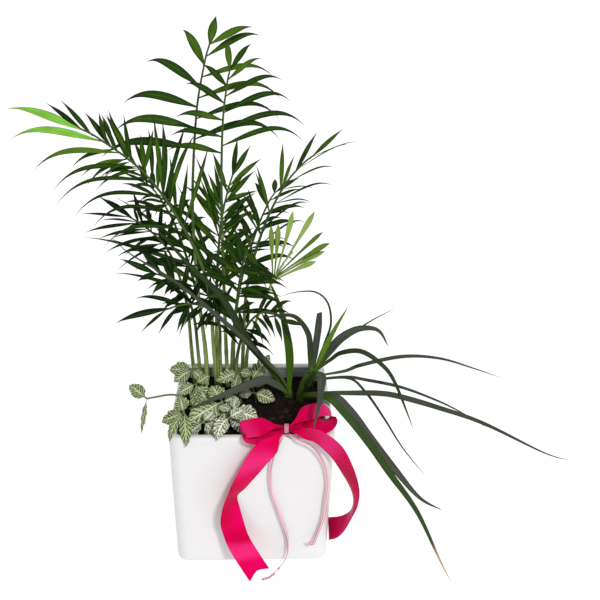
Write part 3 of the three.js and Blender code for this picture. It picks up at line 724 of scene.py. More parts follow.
@dataclass(frozen=True)
class PalmLeaf(Finish):
    """A palm leaflet: lengthwise pleats, a paler rib, darker edges, a duller underside, a dry tip; painted
    light through at top tones.
    """

    # deep: the darkest green, partly painted shade; the fronds low in the dense middle and on the left reach
    # it through low tones.
    deep: Triple = (0.003, 0.013, 0.003)
    green: Triple = (0.016, 0.055, 0.0015)
    young: Triple = (0.1, 0.2, 0.012)
    painted_backlight: Triple = (0.24, 0.6, 0.07)
    dull: Triple = (0.02, 0.05, 0.004)
    tip: Triple = (0.024, 0.021, 0.016)
    blotch_scale: float = 55.0
    pleats: float = 26.0
    rib: float = 0.3
    edge: float = 0.6
    underside: float = 0.3
    dryness: float = 0.85
    roughness: float = 0.46
    relief: float = 0.00018
    label = "palm_leaf"

    def paint(self, s: Shader) -> None:
        """Sets what feeds the shader; top-tone leaflets, painted light green as if lit through, have no dark
        edges and no dry tips.

        Args:
            s: the shader.
        """
        across, along, tone, under = s.kept("across", "along", "tone", "under")
        threads = s.noise(s.vector(across * 9.0, along * 1.6, tone * 31.0), 3.0, 2.0)
        blotches = s.noise(s.place(), self.blotch_scale, 3.0)
        shifted = tone + (blotches - 0.5) * 0.34 + (threads - 0.5) * 0.2
        # At tone 1 the ramp reaches a bright yellow-green, painted light shining through the leaflet.
        colour = s.ramp(shifted, (0.0, self.deep), (0.4, self.green), (0.72, self.young), (1.0, self.painted_backlight))
        colour = s.mix(abs(across).smooth(0.16, 0.02) * self.rib, colour, self.young)
        colour = s.mix(abs(across).smooth(0.6, 1.0) * tone.smooth(0.7, 0.4) * self.edge, colour, self.deep)
        colour = s.mix(under * self.underside, colour, self.dull)
        colour = s.mix(along.smooth(0.62, 0.95) * tone.smooth(0.75, 0.5) * self.dryness, colour, self.tip)
        s.set(Base_Color=colour, Roughness=self.roughness + threads * 0.16, Specular_IOR_Level=0.08)
        s.bump((across * self.pleats).sine() * 0.3 + threads * 0.6, self.relief)


@dataclass(frozen=True)
class Cane(Finish):
    """A palm's cane and leaf stalk: pale green low down, partly painted highlight, ring scars, painted shade
    streaks, deep green towards the tip.
    """

    pale: Triple = (0.42, 0.53, 0.16)
    green: Triple = (0.045, 0.085, 0.02)
    scar: Triple = (0.33, 0.3, 0.18)
    shade: Triple = (0.06, 0.1, 0.02)
    scarring: float = 0.8
    painted_shade_streaks: float = 0.8
    roughness: float = 0.46
    relief: float = 0.0003
    label = "palm_cane"

    def paint(self, s: Shader) -> None:
        """Sets what feeds the shader; on a cane the mark under stands for its ring scars.

        Args:
            s: the shader.
        """
        across, along, tone, ring = s.kept("across", "along", "tone", "under")
        grain = s.noise(s.vector(across * 7.0, along * 3.0, tone * 17.0), 3.0, 3.0)
        low = along.smooth(0.55, 0.22).most(tone.smooth(0.6, 0.8))
        # Painted highlight and shade: the pale green is brightened as highlight; the shade colour goes in as
        # streaks and over canes of low-toned fronds.
        colour = s.mix(low, self.green, self.pale)
        colour = s.mix(grain.smooth(0.42, 0.64) * self.painted_shade_streaks, colour, self.shade)
        colour = s.mix(tone.smooth(0.3, 0.05) * 0.5, colour, self.shade)
        colour = s.mix(ring * self.scarring, colour, self.scar)
        s.set(Base_Color=colour, Roughness=self.roughness + grain * 0.12, Specular_IOR_Level=0.1)
        s.bump(grain, self.relief)


@dataclass(frozen=True)
class StrapLeaf(Finish):
    """A dracaena leaf: fine lengthwise veins, grey-green above with its sheen painted in, greener below,
    bright at its foot.
    """

    # A grey-green that is partly painted sheen, the light off the glossy leaf.
    grey: Triple = (0.062, 0.068, 0.056)
    dark: Triple = (0.018, 0.034, 0.01)
    green: Triple = (0.03, 0.09, 0.004)
    bright: Triple = (0.1, 0.2, 0.008)
    dry: Triple = (0.5, 0.3, 0.18)
    blotch_scale: float = 40.0
    veins: float = 44.0
    foot: float = 0.42
    rib: float = 0.2
    underside: float = 0.35
    roughness: float = 0.42
    relief: float = 0.00016
    label = "strap_leaf"

    def paint(self, s: Shader) -> None:
        """Sets what feeds the shader.

        Args:
            s: the shader.
        """
        across, along, tone, under, dry = s.kept("across", "along", "tone", "under", "dry")
        threads = s.noise(s.vector(across * 16.0, along * 1.2, tone * 23.0), 3.0, 3.0)
        blotches = s.noise(s.place(), self.blotch_scale, 2.0)
        shifted = tone + (threads - 0.5) * 0.16 + (blotches - 0.5) * 0.14
        # The lowest tones give the grey-green, which also holds the painted sheen of the glossy leaf.
        colour = s.ramp(shifted, (0.0, self.grey), (0.3, self.dark), (0.62, self.green), (1.0, self.bright))
        colour = s.mix(along.smooth(0.26, 0.02) * self.foot, colour, self.bright)
        colour = s.mix(under * self.underside, colour, self.green)
        colour = s.mix(abs(across).smooth(0.1, 0.02) * self.rib, colour, self.bright)
        colour = s.mix(dry, colour, self.dry)
        s.set(Base_Color=colour, Roughness=self.roughness + threads * 0.15, Specular_IOR_Level=0.14)
        s.bump(threads * 0.7 + (across * self.veins).sine() * 0.2, self.relief)


@dataclass(frozen=True)
class NetLeaf(Finish):
    """A fittonia leaf: a dense white net of veins on green, yellower towards its edge."""

    green: Triple = (0.08, 0.17, 0.012)
    dark: Triple = (0.016, 0.045, 0.004)
    edge: Triple = (0.28, 0.36, 0.08)
    net: Triple = (0.66, 0.72, 0.42)
    white: Triple = (0.84, 0.86, 0.68)
    dull: Triple = (0.2, 0.27, 0.07)
    side_veins: float = 7.0
    mesh_scale: float = 9.0
    wander: float = 0.55
    underside: float = 0.7
    roughness: float = 0.55
    relief: float = 0.0005
    label = "net_leaf"

    def paint(self, s: Shader) -> None:
        """Sets what feeds the shader: a middle rib, side veins swept to the tip and a fine net between.

        Args:
            s: the shader.
        """
        across, along, tone, under = s.kept("across", "along", "tone", "under")
        side = abs(across)
        wobble = (s.noise(s.vector(across * 3.0, along * 5.0, tone * 41.0), 2.0, 2.0) - 0.5) * self.wander
        run = (along - side * (0.34 - side * 0.1)) * self.side_veins + wobble
        ribs = side.smooth(0.16, 0.05).most(abs(run.fraction() - 0.5).smooth(0.24, 0.43))
        where = s.vector(across * 0.62 + wobble * 0.05, along + wobble * 0.05, tone * 9.0)
        mesh = s.cells(where, self.mesh_scale).smooth(0.12, 0.03)
        veins = ribs.most(mesh * (0.35 + tone * 0.5))
        patches = s.noise(s.vector(across * 2.0, along * 2.0, tone * 53.0), 1.5, 2.0)
        colour = s.mix(patches.smooth(0.35, 0.65), self.dark, self.green)
        colour = s.mix(side.smooth(0.8, 1.0) * 0.45, colour, self.edge)
        net = s.mix(tone.smooth(0.35, 0.8), self.net, self.white)
        colour = s.mix(veins * (0.7 + tone * 0.3), colour, net)
        colour = s.mix(under * self.underside, colour, self.dull)
        s.set(Base_Color=colour, Roughness=self.roughness, Specular_IOR_Level=0.2)
        s.bump(1.0 - veins, self.relief)


@dataclass(frozen=True)
class Satin(Finish):
    """Crimson satin ribbon: fine threads, firm edges, painted shade and sheen, a faint glow of painted light
    and two painted highlight bands, placed in metres.
    """

    crimson: Triple = (0.53, 0.0006, 0.056)
    # deep and bright: painted shade and painted sheen in the patches along the satin; deep also darkens its
    # firm edges.
    deep: Triple = (0.42, 0.0005, 0.042)
    bright: Triple = (0.66, 0.001, 0.1)
    painted_highlight_pink: Triple = (0.9, 0.04, 0.27)
    gloss: Triple = (1.0, 0.25, 0.5)
    # near and far: where the two bands of painted highlight lie, in metres along each run.
    near: float = 0.039
    far: float = 0.133
    # glow: a faint crimson emission, painted light that lifts the satin's shadows.
    glow: float = 0.09
    roughness: float = 0.34
    relief: float = 0.00012
    label = "crimson_satin"

    def paint(self, s: Shader) -> None:
        """Sets what feeds the shader.

        Args:
            s: the shader.
        """
        across, along = s.kept("across", "along")
        threads = s.noise(s.vector(across * 60.0, along * 4.0, 0.0), 2.0, 2.0)
        # The waves place random patches of painted shade and painted sheen.
        waves = s.noise(s.vector(across * 0.18, along * 24.0, 3.0), 1.3, 1.0)
        hem = abs(across).smooth(0.93, 0.98)
        # Painted highlight: two pink bands across the ribbon, near and far along each run.
        painted_bands = abs(along - self.near + across * 0.005).smooth(0.02, 0.002)
        painted_bands = painted_bands.most(abs(along - self.far - across * 0.004).smooth(0.012, 0.002))
        shifted = waves + (threads - 0.5) * 0.1
        colour = s.ramp(shifted, (0.3, self.deep), (0.5, self.crimson), (0.7, self.bright))
        colour = s.mix(painted_bands * (0.1 + threads * 0.7), colour, self.painted_highlight_pink)
        colour = s.mix(hem * 0.4, colour, self.deep)
        # The crimson emission is painted light in the satin's shadows.
        s.set(Base_Color=colour, Roughness=self.roughness + threads * 0.12, Specular_IOR_Level=0.04,
              Specular_Tint=self.gloss, Emission_Color=self.crimson, Emission_Strength=self.glow)
        s.bump(threads * 0.4 + hem * 0.6, self.relief)


@dataclass(frozen=True)
class PaleTie(Finish):
    """Thin pale metallic ribbon: dusty pink, with lighter and darker stretches of painted reflection and fine
    crosswise ridges.
    """

    rose: Triple = (0.45, 0.17, 0.22)
    pale: Triple = (0.9, 0.62, 0.68)
    wave_scale: float = 14.0
    ridges: float = 900.0
    relief: float = 0.00008
    label = "pale_tie"

    def paint(self, s: Shader) -> None:
        """Sets what feeds the shader.

        Args:
            s: the shader.
        """
        across, along = s.kept("across", "along")
        # Painted reflection: the waves mix lighter and darker stretches along the tie.
        waves = s.noise(s.vector(across, along * self.wave_scale, 0.0), 1.0, 2.0)
        colour = s.mix(waves.smooth(0.38, 0.62), self.rose, self.pale)
        s.set(Base_Color=colour, Metallic=0.2, Roughness=0.32)
        s.bump((along * self.ridges).sine() * 0.5 + 0.5, self.relief)


@dataclass(frozen=True)
class PaleFloor(Finish):
    """The plain pale floor, which glows a little so that it stays pale in the shade."""

    white: Triple = (0.2, 0.2, 0.2)
    light: Triple = (1.0, 1.0, 1.0)
    glow: float = 0.9
    label = "pale_floor"

    def paint(self, s: Shader) -> None:
        """Sets the shader.

        Args:
            s: the shader.
        """
        s.set(Base_Color=self.white, Roughness=0.9, Specular_IOR_Level=0.1, Emission_Color=self.light,
              Emission_Strength=self.glow)


# ---- The camera, the light and the floor ----


@dataclass
class Studio:
    """The photograph's viewpoint, soft light from high on the right and a pale floor."""

    focal_pixels: float = 832.0
    picture_pixels: float = 600.0
    sensor: float = 36.0
    place: Triple = (4.1, -668.0, 495.0)
    pitch: float = 21.97
    yaw: float = 3.17
    roll: float = 1.28
    key_from: Triple = (0.34, -0.8, 0.78)
    key_angle: float = 9.0
    key_strength: float = 2.1
    sky: float = 0.55
    floor_size: float = 40.0

    def camera(self) -> None:
        """Sets the camera where the photograph was taken from."""
        pitch, yaw, roll = (math.radians(a) for a in (self.pitch, self.yaw, self.roll))
        level = math.cos(pitch)
        ahead = Vector((math.sin(yaw) * level, math.cos(yaw) * level, -math.sin(pitch)))
        right = Vector((math.cos(yaw), -math.sin(yaw), 0.0))
        above = right.cross(ahead)
        leant = right * math.cos(roll) + above * math.sin(roll)
        upright = above * math.cos(roll) - right * math.sin(roll)
        data = bpy.data.cameras.new("viewpoint")
        data.sensor_width = self.sensor
        data.lens = self.focal_pixels * self.sensor / self.picture_pixels
        data.clip_end = 2 * self.floor_size
        camera = linked("viewpoint", data)
        turn = Matrix((leant, upright, -ahead)).transposed().to_4x4()
        camera.matrix_world = Matrix.Translation(Vector(self.place) * MM) @ turn
        bpy.context.scene.camera = camera

    def light(self) -> None:
        """Adds the key light and an even sky."""
        data = bpy.data.lights.new("key", "SUN")
        data.angle = math.radians(self.key_angle)
        data.energy = self.key_strength
        key = linked("key", data)
        key.rotation_mode = "QUATERNION"
        key.rotation_quaternion = (-Vector(self.key_from)).to_track_quat("-Z", "Y")
        world = bpy.data.worlds.new("even_sky")
        world.use_nodes = True
        sky = world.node_tree.nodes["Background"].inputs
        sky["Color"].default_value = (1.0, 1.0, 1.0, 1.0)
        sky["Strength"].default_value = self.sky
        bpy.context.scene.world = world
        bpy.context.scene.view_settings.view_transform = "Standard"

    def floor(self) -> None:
        """Adds the floor."""
        half = self.floor_size / 2
        mesh = bpy.data.meshes.new("floor")
        corners = [(-half, -half, 0.0), (half, -half, 0.0), (half, half, 0.0), (-half, half, 0.0)]
        mesh.from_pydata(corners, [], [(0, 1, 2, 3)])
        mesh.materials.append(PaleFloor().material())
        linked("floor", mesh)


# ---- Pot ----


def rounded_square(side: float, corner: float, height: float, steps: int) -> Array:
    """A square ring with rounded corners, in millimetres.

    Args:
        side: its whole width.
        corner: the radius of its corners.
        height: its height above the floor.
        steps: the steps round each corner.

    Returns:
        Its corners, in order.
    """
    reach = (side / 2 - corner) * math.sqrt(2)
    quarters = np.repeat(np.arange(4), steps + 1)
    angles = (quarters + np.tile(np.arange(steps + 1) / steps, 4)) * math.pi / 2
    middles = (quarters + 0.5) * math.pi / 2
    x = reach * np.cos(middles) + corner * np.cos(angles)
    y = reach * np.sin(middles) + corner * np.sin(angles)
    return np.stack([x, y, np.full_like(x, height)], axis=1)


def pot_side(height: float) -> float:
    """The outer side of the tapering pot at a height, in millimetres."""
    return between(POT_BASE, POT_TOP, height / POT_HEIGHT)


@dataclass
class Pot:
    """The glazed square pot, with a rolled lip and a rounded foot."""

    corner_steps: int = 10
    foot_steps: int = 5
    lip_steps: int = 14
    wall_rows: int = 12
    floor_corner: float = 3.0

    def build(self) -> None:
        """Makes the pot, with its bottom and its floor flat in its smooth shading."""
        outer, inner = [*self.outside(), *self.lip()], [*self.inside()]
        rings = np.stack([*outer, *inner])
        # The inner rings are marked for the glaze's painted shade.
        inside_shade_mask = np.arange(len(rings)) >= len(outer) - 1
        draft = Draft()
        draft.rings(rings, under=np.repeat(inside_shade_mask, rings.shape[1]))
        pot = draft.build("glazed_pot", Glaze().material())
        for face in pot.data.polygons:
            face.use_smooth = len(face.vertices) <= 4
        settle(pot, Slot.POT, "pot")

    def ring(self, side: float, corner: float, height: float) -> Array:
        """One ring of the pot."""
        return rounded_square(side, corner, height, self.corner_steps)

    def outside(self) -> Iterator[Array]:
        """The rings of the foot and the outer wall.

        Returns:
            The rings, from the bottom up.
        """
        for angle in np.linspace(0, math.pi / 2, self.foot_steps + 1):
            inset, rise = POT_FOOT * (1 - math.sin(angle)), POT_FOOT * (1 - math.cos(angle))
            yield self.ring(POT_BASE - 2 * inset, POT_CORNER - inset, rise)
        for height in np.linspace(POT_FOOT, POT_HEIGHT - POT_LIP, self.wall_rows + 2)[1:-1]:
            yield self.ring(pot_side(height), POT_CORNER, height)

    def lip(self) -> Iterator[Array]:
        """The rings over the lip.

        Returns:
            The rings, from the outer wall to the inner one.
        """
        for angle in np.linspace(0, math.pi, self.lip_steps + 1):
            past = POT_WALL - 2 * POT_LIP if math.cos(angle) < 0 else 0.0
            inset = past + POT_LIP * (1 - math.cos(angle))
            height = POT_HEIGHT - POT_LIP * (1 - math.sin(angle))
            yield self.ring(POT_TOP - 2 * inset, POT_CORNER - inset, height)

    def inside(self) -> Iterator[Array]:
        """The rings of the inner wall and floor.

        Returns:
            The rings, from the top down.
        """
        for height in (POT_HEIGHT - 2 * POT_LIP, SOIL_LEVEL, POT_FLOOR + POT_FILLET):
            yield self.ring(pot_side(height) - 2 * POT_WALL, POT_CORNER - POT_WALL, height)
        yield self.ring(pot_side(POT_FLOOR) - 2 * POT_WALL - POT_FILLET, self.floor_corner, POT_FLOOR)


# ---- Soil ----


def soil_height(x: Array, y: Array) -> Array:
    """The height of the uneven soil at a place, in millimetres."""
    waves = np.sin(x * 0.16 + 1) * np.cos(y * 0.19) + 0.6 * np.sin(x * 0.41 - y * 0.33)
    return SOIL_LEVEL + SOIL_LUMP * waves


@dataclass
class PottedSoil:
    """The soil that fills the pot, with loose crumbs on it."""

    rings: int = 44
    corner_steps: int = 12
    side_steps: int = 30
    taper: float = 0.97
    edge_dip: float = 1.5
    edge_from: float = 0.93
    lumps: float = 0.45
    grains: float = 0.25
    crumbs: int = 2600
    crumb_size: float = 2.0
    crumb_sizes: Triple = (0.45, 1.6, 3.0)
    crumb_shape: Pair = (0.7, 1.3)
    crumb_flat: float = 0.75
    crumb_depth: float = 3.0
    seed: int = 5

    def build(self) -> None:
        """Makes the soil and its crumbs."""
        finish = Soil().material()
        body = self.body(finish)
        crumbs = self.scatter(body, finish)
        settle(body, Slot.SOIL, "soil")
        settle(crumbs, Slot.SOIL)

    def outline(self, share: float) -> Array:
        """The soil's outline shrunk to a share, its straight sides split up.

        Args:
            share: the share of the full size.

        Returns:
            The places, at the soil's level.
        """
        side = pot_side(SOIL_LEVEL) - 2 * (POT_WALL + SOIL_GAP)
        ring = rounded_square(side * share, (POT_CORNER - POT_WALL) * share, SOIL_LEVEL, self.corner_steps)
        closed = np.vstack([ring, ring[:1]])
        steps = np.concatenate([[0], np.cumsum(np.linalg.norm(np.diff(closed, axis=0), axis=1))])
        places = np.linspace(0, steps[-1], 4 * self.side_steps + 1)[:-1]
        return np.stack([np.interp(places, steps, closed[:, k]) for k in range(3)], axis=1)

    def body(self, finish: Material) -> Piece:
        """Makes the block of soil with its rough top.

        Args:
            finish: the soil's material.

        Returns:
            The new object.
        """
        rows = [self.outline(1.0) * np.array([self.taper, self.taper, SOIL_BOTTOM / SOIL_LEVEL])]
        for share in np.linspace(1.0, 1 / self.rings, self.rings):
            ring = self.outline(share)
            x, y = ring[:, 0], ring[:, 1]
            dip = self.edge_dip * ease(share, self.edge_from, 1)
            ring[:, 2] = soil_height(x, y) + self.roughness(x, y) - dip
            rows.append(ring)
        draft = Draft()
        draft.rings(np.stack(rows), tip=UP * SOIL_LEVEL)
        return draft.build("soil_body", finish)

    def roughness(self, x: Array, y: Array) -> Array:
        """Small ups and downs of the top, in millimetres.

        Args:
            x: places from left to right.
            y: places from front to back.

        Returns:
            How high each place stands over the soil's even surface.
        """
        lumps = np.sin(x * 1.13 + 2.1 * np.sin(y * 0.57)) * np.sin(y * 1.31 + 1.7 * np.sin(x * 0.49))
        grains = np.sin(x * 2.9 + y * 1.7) * np.sin(y * 3.1 - x * 0.9)
        return self.lumps * lumps + self.grains * grains

    def scatter(self, ground: Piece, finish: Material) -> Piece:
        """Strews crumbs over the top of the soil.

        Args:
            ground: the block of soil.
            finish: the soil's material.

        Returns:
            The crumbs as one plain mesh.
        """
        crumb = self.crumb(finish)
        area = ((POT_TOP - 2 * POT_WALL) * MM) ** 2
        least, more, rarity = self.crumb_sizes
        values = {"Density": self.crumbs / area, "Size": self.crumb_size * MM, "Seed": self.seed,
                  "Least": least, "More": more, "Rarity": rarity,
                  "Level": (SOIL_LEVEL - self.crumb_depth) * MM}
        maker = linked("crumb_maker", ground.data)
        made = plain_mesh("soil_crumbs", maker, crumb_tree(crumb, finish), values)
        bpy.data.objects.remove(crumb)
        return made

    def crumb(self, finish: Material) -> Piece:
        """Makes one rough crumb, about 1 across.

        Args:
            finish: the soil's material.

        Returns:
            The crumb.
        """
        work = bmesh.new()
        bmesh.ops.create_icosphere(work, subdivisions=1, radius=0.5)
        draws = Draws(self.seed)
        for corner in work.verts:
            corner.co *= between(*self.crumb_shape, draws())
            corner.co.z *= self.crumb_flat
        mesh = bpy.data.meshes.new("crumb")
        work.to_mesh(mesh)
        work.free()
        mesh.materials.append(finish)
        return linked("crumb", mesh)


def crumb_tree(crumb: Piece, finish: Material) -> bpy.types.GeometryNodeTree:
    """The tree that strews crumbs over the upper faces of a mesh, most of them small.

    Args:
        crumb: the crumb.
        finish: its material.

    Returns:
        The tree. A crumb is Least to Least + More of Size, and the larger ones grow rarer with Rarity.
    """
    t = Grower("strewn_crumbs", Density="Float", Size="Float", Least="Float", More="Float", Rarity="Float",
               Level="Float", Seed="Int")
    seed = {"Seed": t.given("Seed")}
    place = t.add("GeometryNodeInputPosition").outputs[0]
    height = t.add("ShaderNodeSeparateXYZ", {0: place}).outputs["Z"]
    upper = t.add("FunctionNodeCompare", {0: height, 1: t.given("Level")}, data_type="FLOAT",
                  operation="GREATER_THAN")
    strewn = t.add("GeometryNodeDistributePointsOnFaces",
                   {"Mesh": t.given("Geometry"), "Selection": upper.outputs[0], "Density": t.given("Density"),
                    **seed})
    draw = t.add("FunctionNodeRandomValue", {2: 0.0, 3: 1.0, **seed}, data_type="FLOAT")
    share = Value(t, draw.outputs[1]) ** t.given("Rarity")
    turn = t.add("FunctionNodeRandomValue", {0: (0.0,) * 3, 1: (math.tau,) * 3, **seed},
                 data_type="FLOAT_VECTOR")
    shape = t.add("GeometryNodeObjectInfo", {"Object": crumb})
    placed = t.add("GeometryNodeInstanceOnPoints",
                   {"Points": strewn.outputs[0], "Instance": shape.outputs["Geometry"],
                    "Rotation": turn.outputs[0],
                    "Scale": (share * t.given("More") + t.given("Least")) * t.given("Size")})
    return t.finish(placed.outputs[0], finish)


# ---- Leaves ----

# The bends that a leaf tries in turn, as in the model, where they keep it clear of the leaves of other stems;
# here they are tried to find the one whose tip the model has: a bend towards its upper face, as a share of
# its length, and how much of its length is left.
BENDS = [(0, 1), (0.12, 1), (-0.12, 1), (0.25, 1), (-0.25, 1), (0.4, 1), (-0.4, 1), (0.12, 0.75),
         (-0.12, 0.75), (0.3, 0.75), (-0.3, 0.75), (0, 0.5), (0.25, 0.5), (-0.25, 0.5), (0.5, 0.5),
         (-0.5, 0.5), (0, 0.3), (0.4, 0.3), (-0.4, 0.3), (0, 0.18)]
LeafLine = Callable[[Number, float, float], Array]


class Tips:
    """Finds which bend of a leaf the model has, from where the leaf's tip is."""

    NEAR = 2.0

    def __init__(self, node: str) -> None:
        """Keeps the corners of a node.

        Args:
            node: its name in the frame.
        """
        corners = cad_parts[node].data.vertices
        self.tree = KDTree(len(corners))
        for i, corner in enumerate(corners):
            self.tree.insert(corner.co / MM, i)
        self.tree.balance()

    def choose(self, line: LeafLine) -> Pair | None:
        """The bend and the share of the length that put a leaf's tip on a corner of the node, if any do."""
        distance, i = min((self.tree.find(Vector(line(1.0, *bend)[0]))[2], i) for i, bend in enumerate(BENDS))
        return BENDS[i] if distance < self.NEAR else None


@dataclass(frozen=True)
class Section:
    """A leaf's cross-section: its thickness, and its folds and pleats as shares of its half width."""

    thick: float
    fold: float
    places: int
    camber: float = 0.0
    pleats: float = 0.0
    pleat_height: float = 0.0
    thinning: float = 0.8
    rounding: float = 1.25

    def lift(self, x: Array, half: Array) -> Array:
        """How high each place stands above the leaf's line.

        Args:
            x: places across, from -1 to 1.
            half: the half width of each ring.

        Returns:
            Heights by ring and place.
        """
        folded = self.camber * (np.abs(x) - x**2) - self.fold * (1 - np.abs(x) ** self.rounding)
        pleated = self.pleat_height * np.sin(x * self.pleats) * (1 - x**2)
        return half[:, None] * (folded + pleated)[None]

    def half_thick(self, x: Array, half: Array) -> Array:
        """Half the thickness by ring and place, thinner at the edges and where the leaf is narrow."""
        shape = (1 - self.thinning * x**4)[None] * np.minimum(1, half / self.thick)[:, None]
        return self.thick / 2 * shape


def add_leaf(draft: Draft, line: Array, faces: Array, halves: Array, section: Section, finish: int,
             tone: float, relief: Number = 0.0, along: Array | None = None, cut: float | None = None,
             dry: Pair | None = None) -> None:
    """Adds one thin leaf that ends in a point, or in a straight cut.

    Args:
        draft: the mesh that it goes into.
        line: the places along its rib.
        faces: the way its upper face looks at each place.
        halves: its half width at each place.
        section: its cross-section.
        finish: the number of its material.
        tone: its own shade, from 0 to 1.
        relief: heights to add to its upper and lower faces, by place along and across.
        along: the share of its length at each place, where that isn't even.
        cut: how far the one corner of a straight cut end lies behind its middle, where it has one.
        dry: the shares of its length between which it dries up, where it does.
    """
    tangent = unit(np.gradient(line, axis=0))
    across = unit(np.cross(faces, tangent))
    normal = np.cross(tangent, across)[:, None]
    x = np.linspace(-1, 1, section.places)
    lift = (section.lift(x, halves) + relief)[..., None]
    thick = section.half_thick(x, halves)[..., None]
    middle = line[:, None] + across[:, None] * (halves[:, None] * x[None])[..., None]
    upper, lower = middle + normal * (lift + thick), middle + normal * (lift - thick)
    rings = np.concatenate([upper, lower[:, -2:0:-1]], axis=1)
    sides = np.concatenate([x, x[-2:0:-1]])
    lows = np.concatenate([np.zeros_like(x), np.ones(len(x) - 2)])
    if cut is None:
        rings = rings[:-1]
    else:
        rings[-1] -= tangent[-1] * (cut * (sides + 1) / 2)[:, None]
    n = len(rings)
    shares = np.repeat((np.linspace(0, 1, len(line)) if along is None else along)[:n], len(sides))
    draft.rings(rings, finish, tip=line[-1] if cut is None else None, across=np.tile(sides, n), tone=tone,
                along=shares, under=np.tile(lows, n), dry=ease(shares, *dry) if dry else 0.0)


# ---- Parlour palm ----


@dataclass(frozen=True)
class Frond:
    """One palm frond, as the model has it, with its shades of green and how slim its leaflets are.

    From length on, a pair is for the rib's left side and its right side, and so is a pair of pairs. The finer
    leaflets between the others come in layers, and extra is their length as a share of the others'.
    """

    name: str
    path: list[tuple[float, ...]]
    face: Triple
    start: float
    pairs: int
    length: Pair
    width: float
    spread: tuple[Pair, Pair]
    fade: tuple[Pair, Pair]
    droop: Pair
    roll: Pair
    seed: int
    tones: tuple[Pair, Pair]
    slim: Pair = (0.8, 0.8)
    broad: Pair = (1, 1)
    layers: int = 0
    extra: Pair = (0.75, 0.75)
    paddle: bool = False


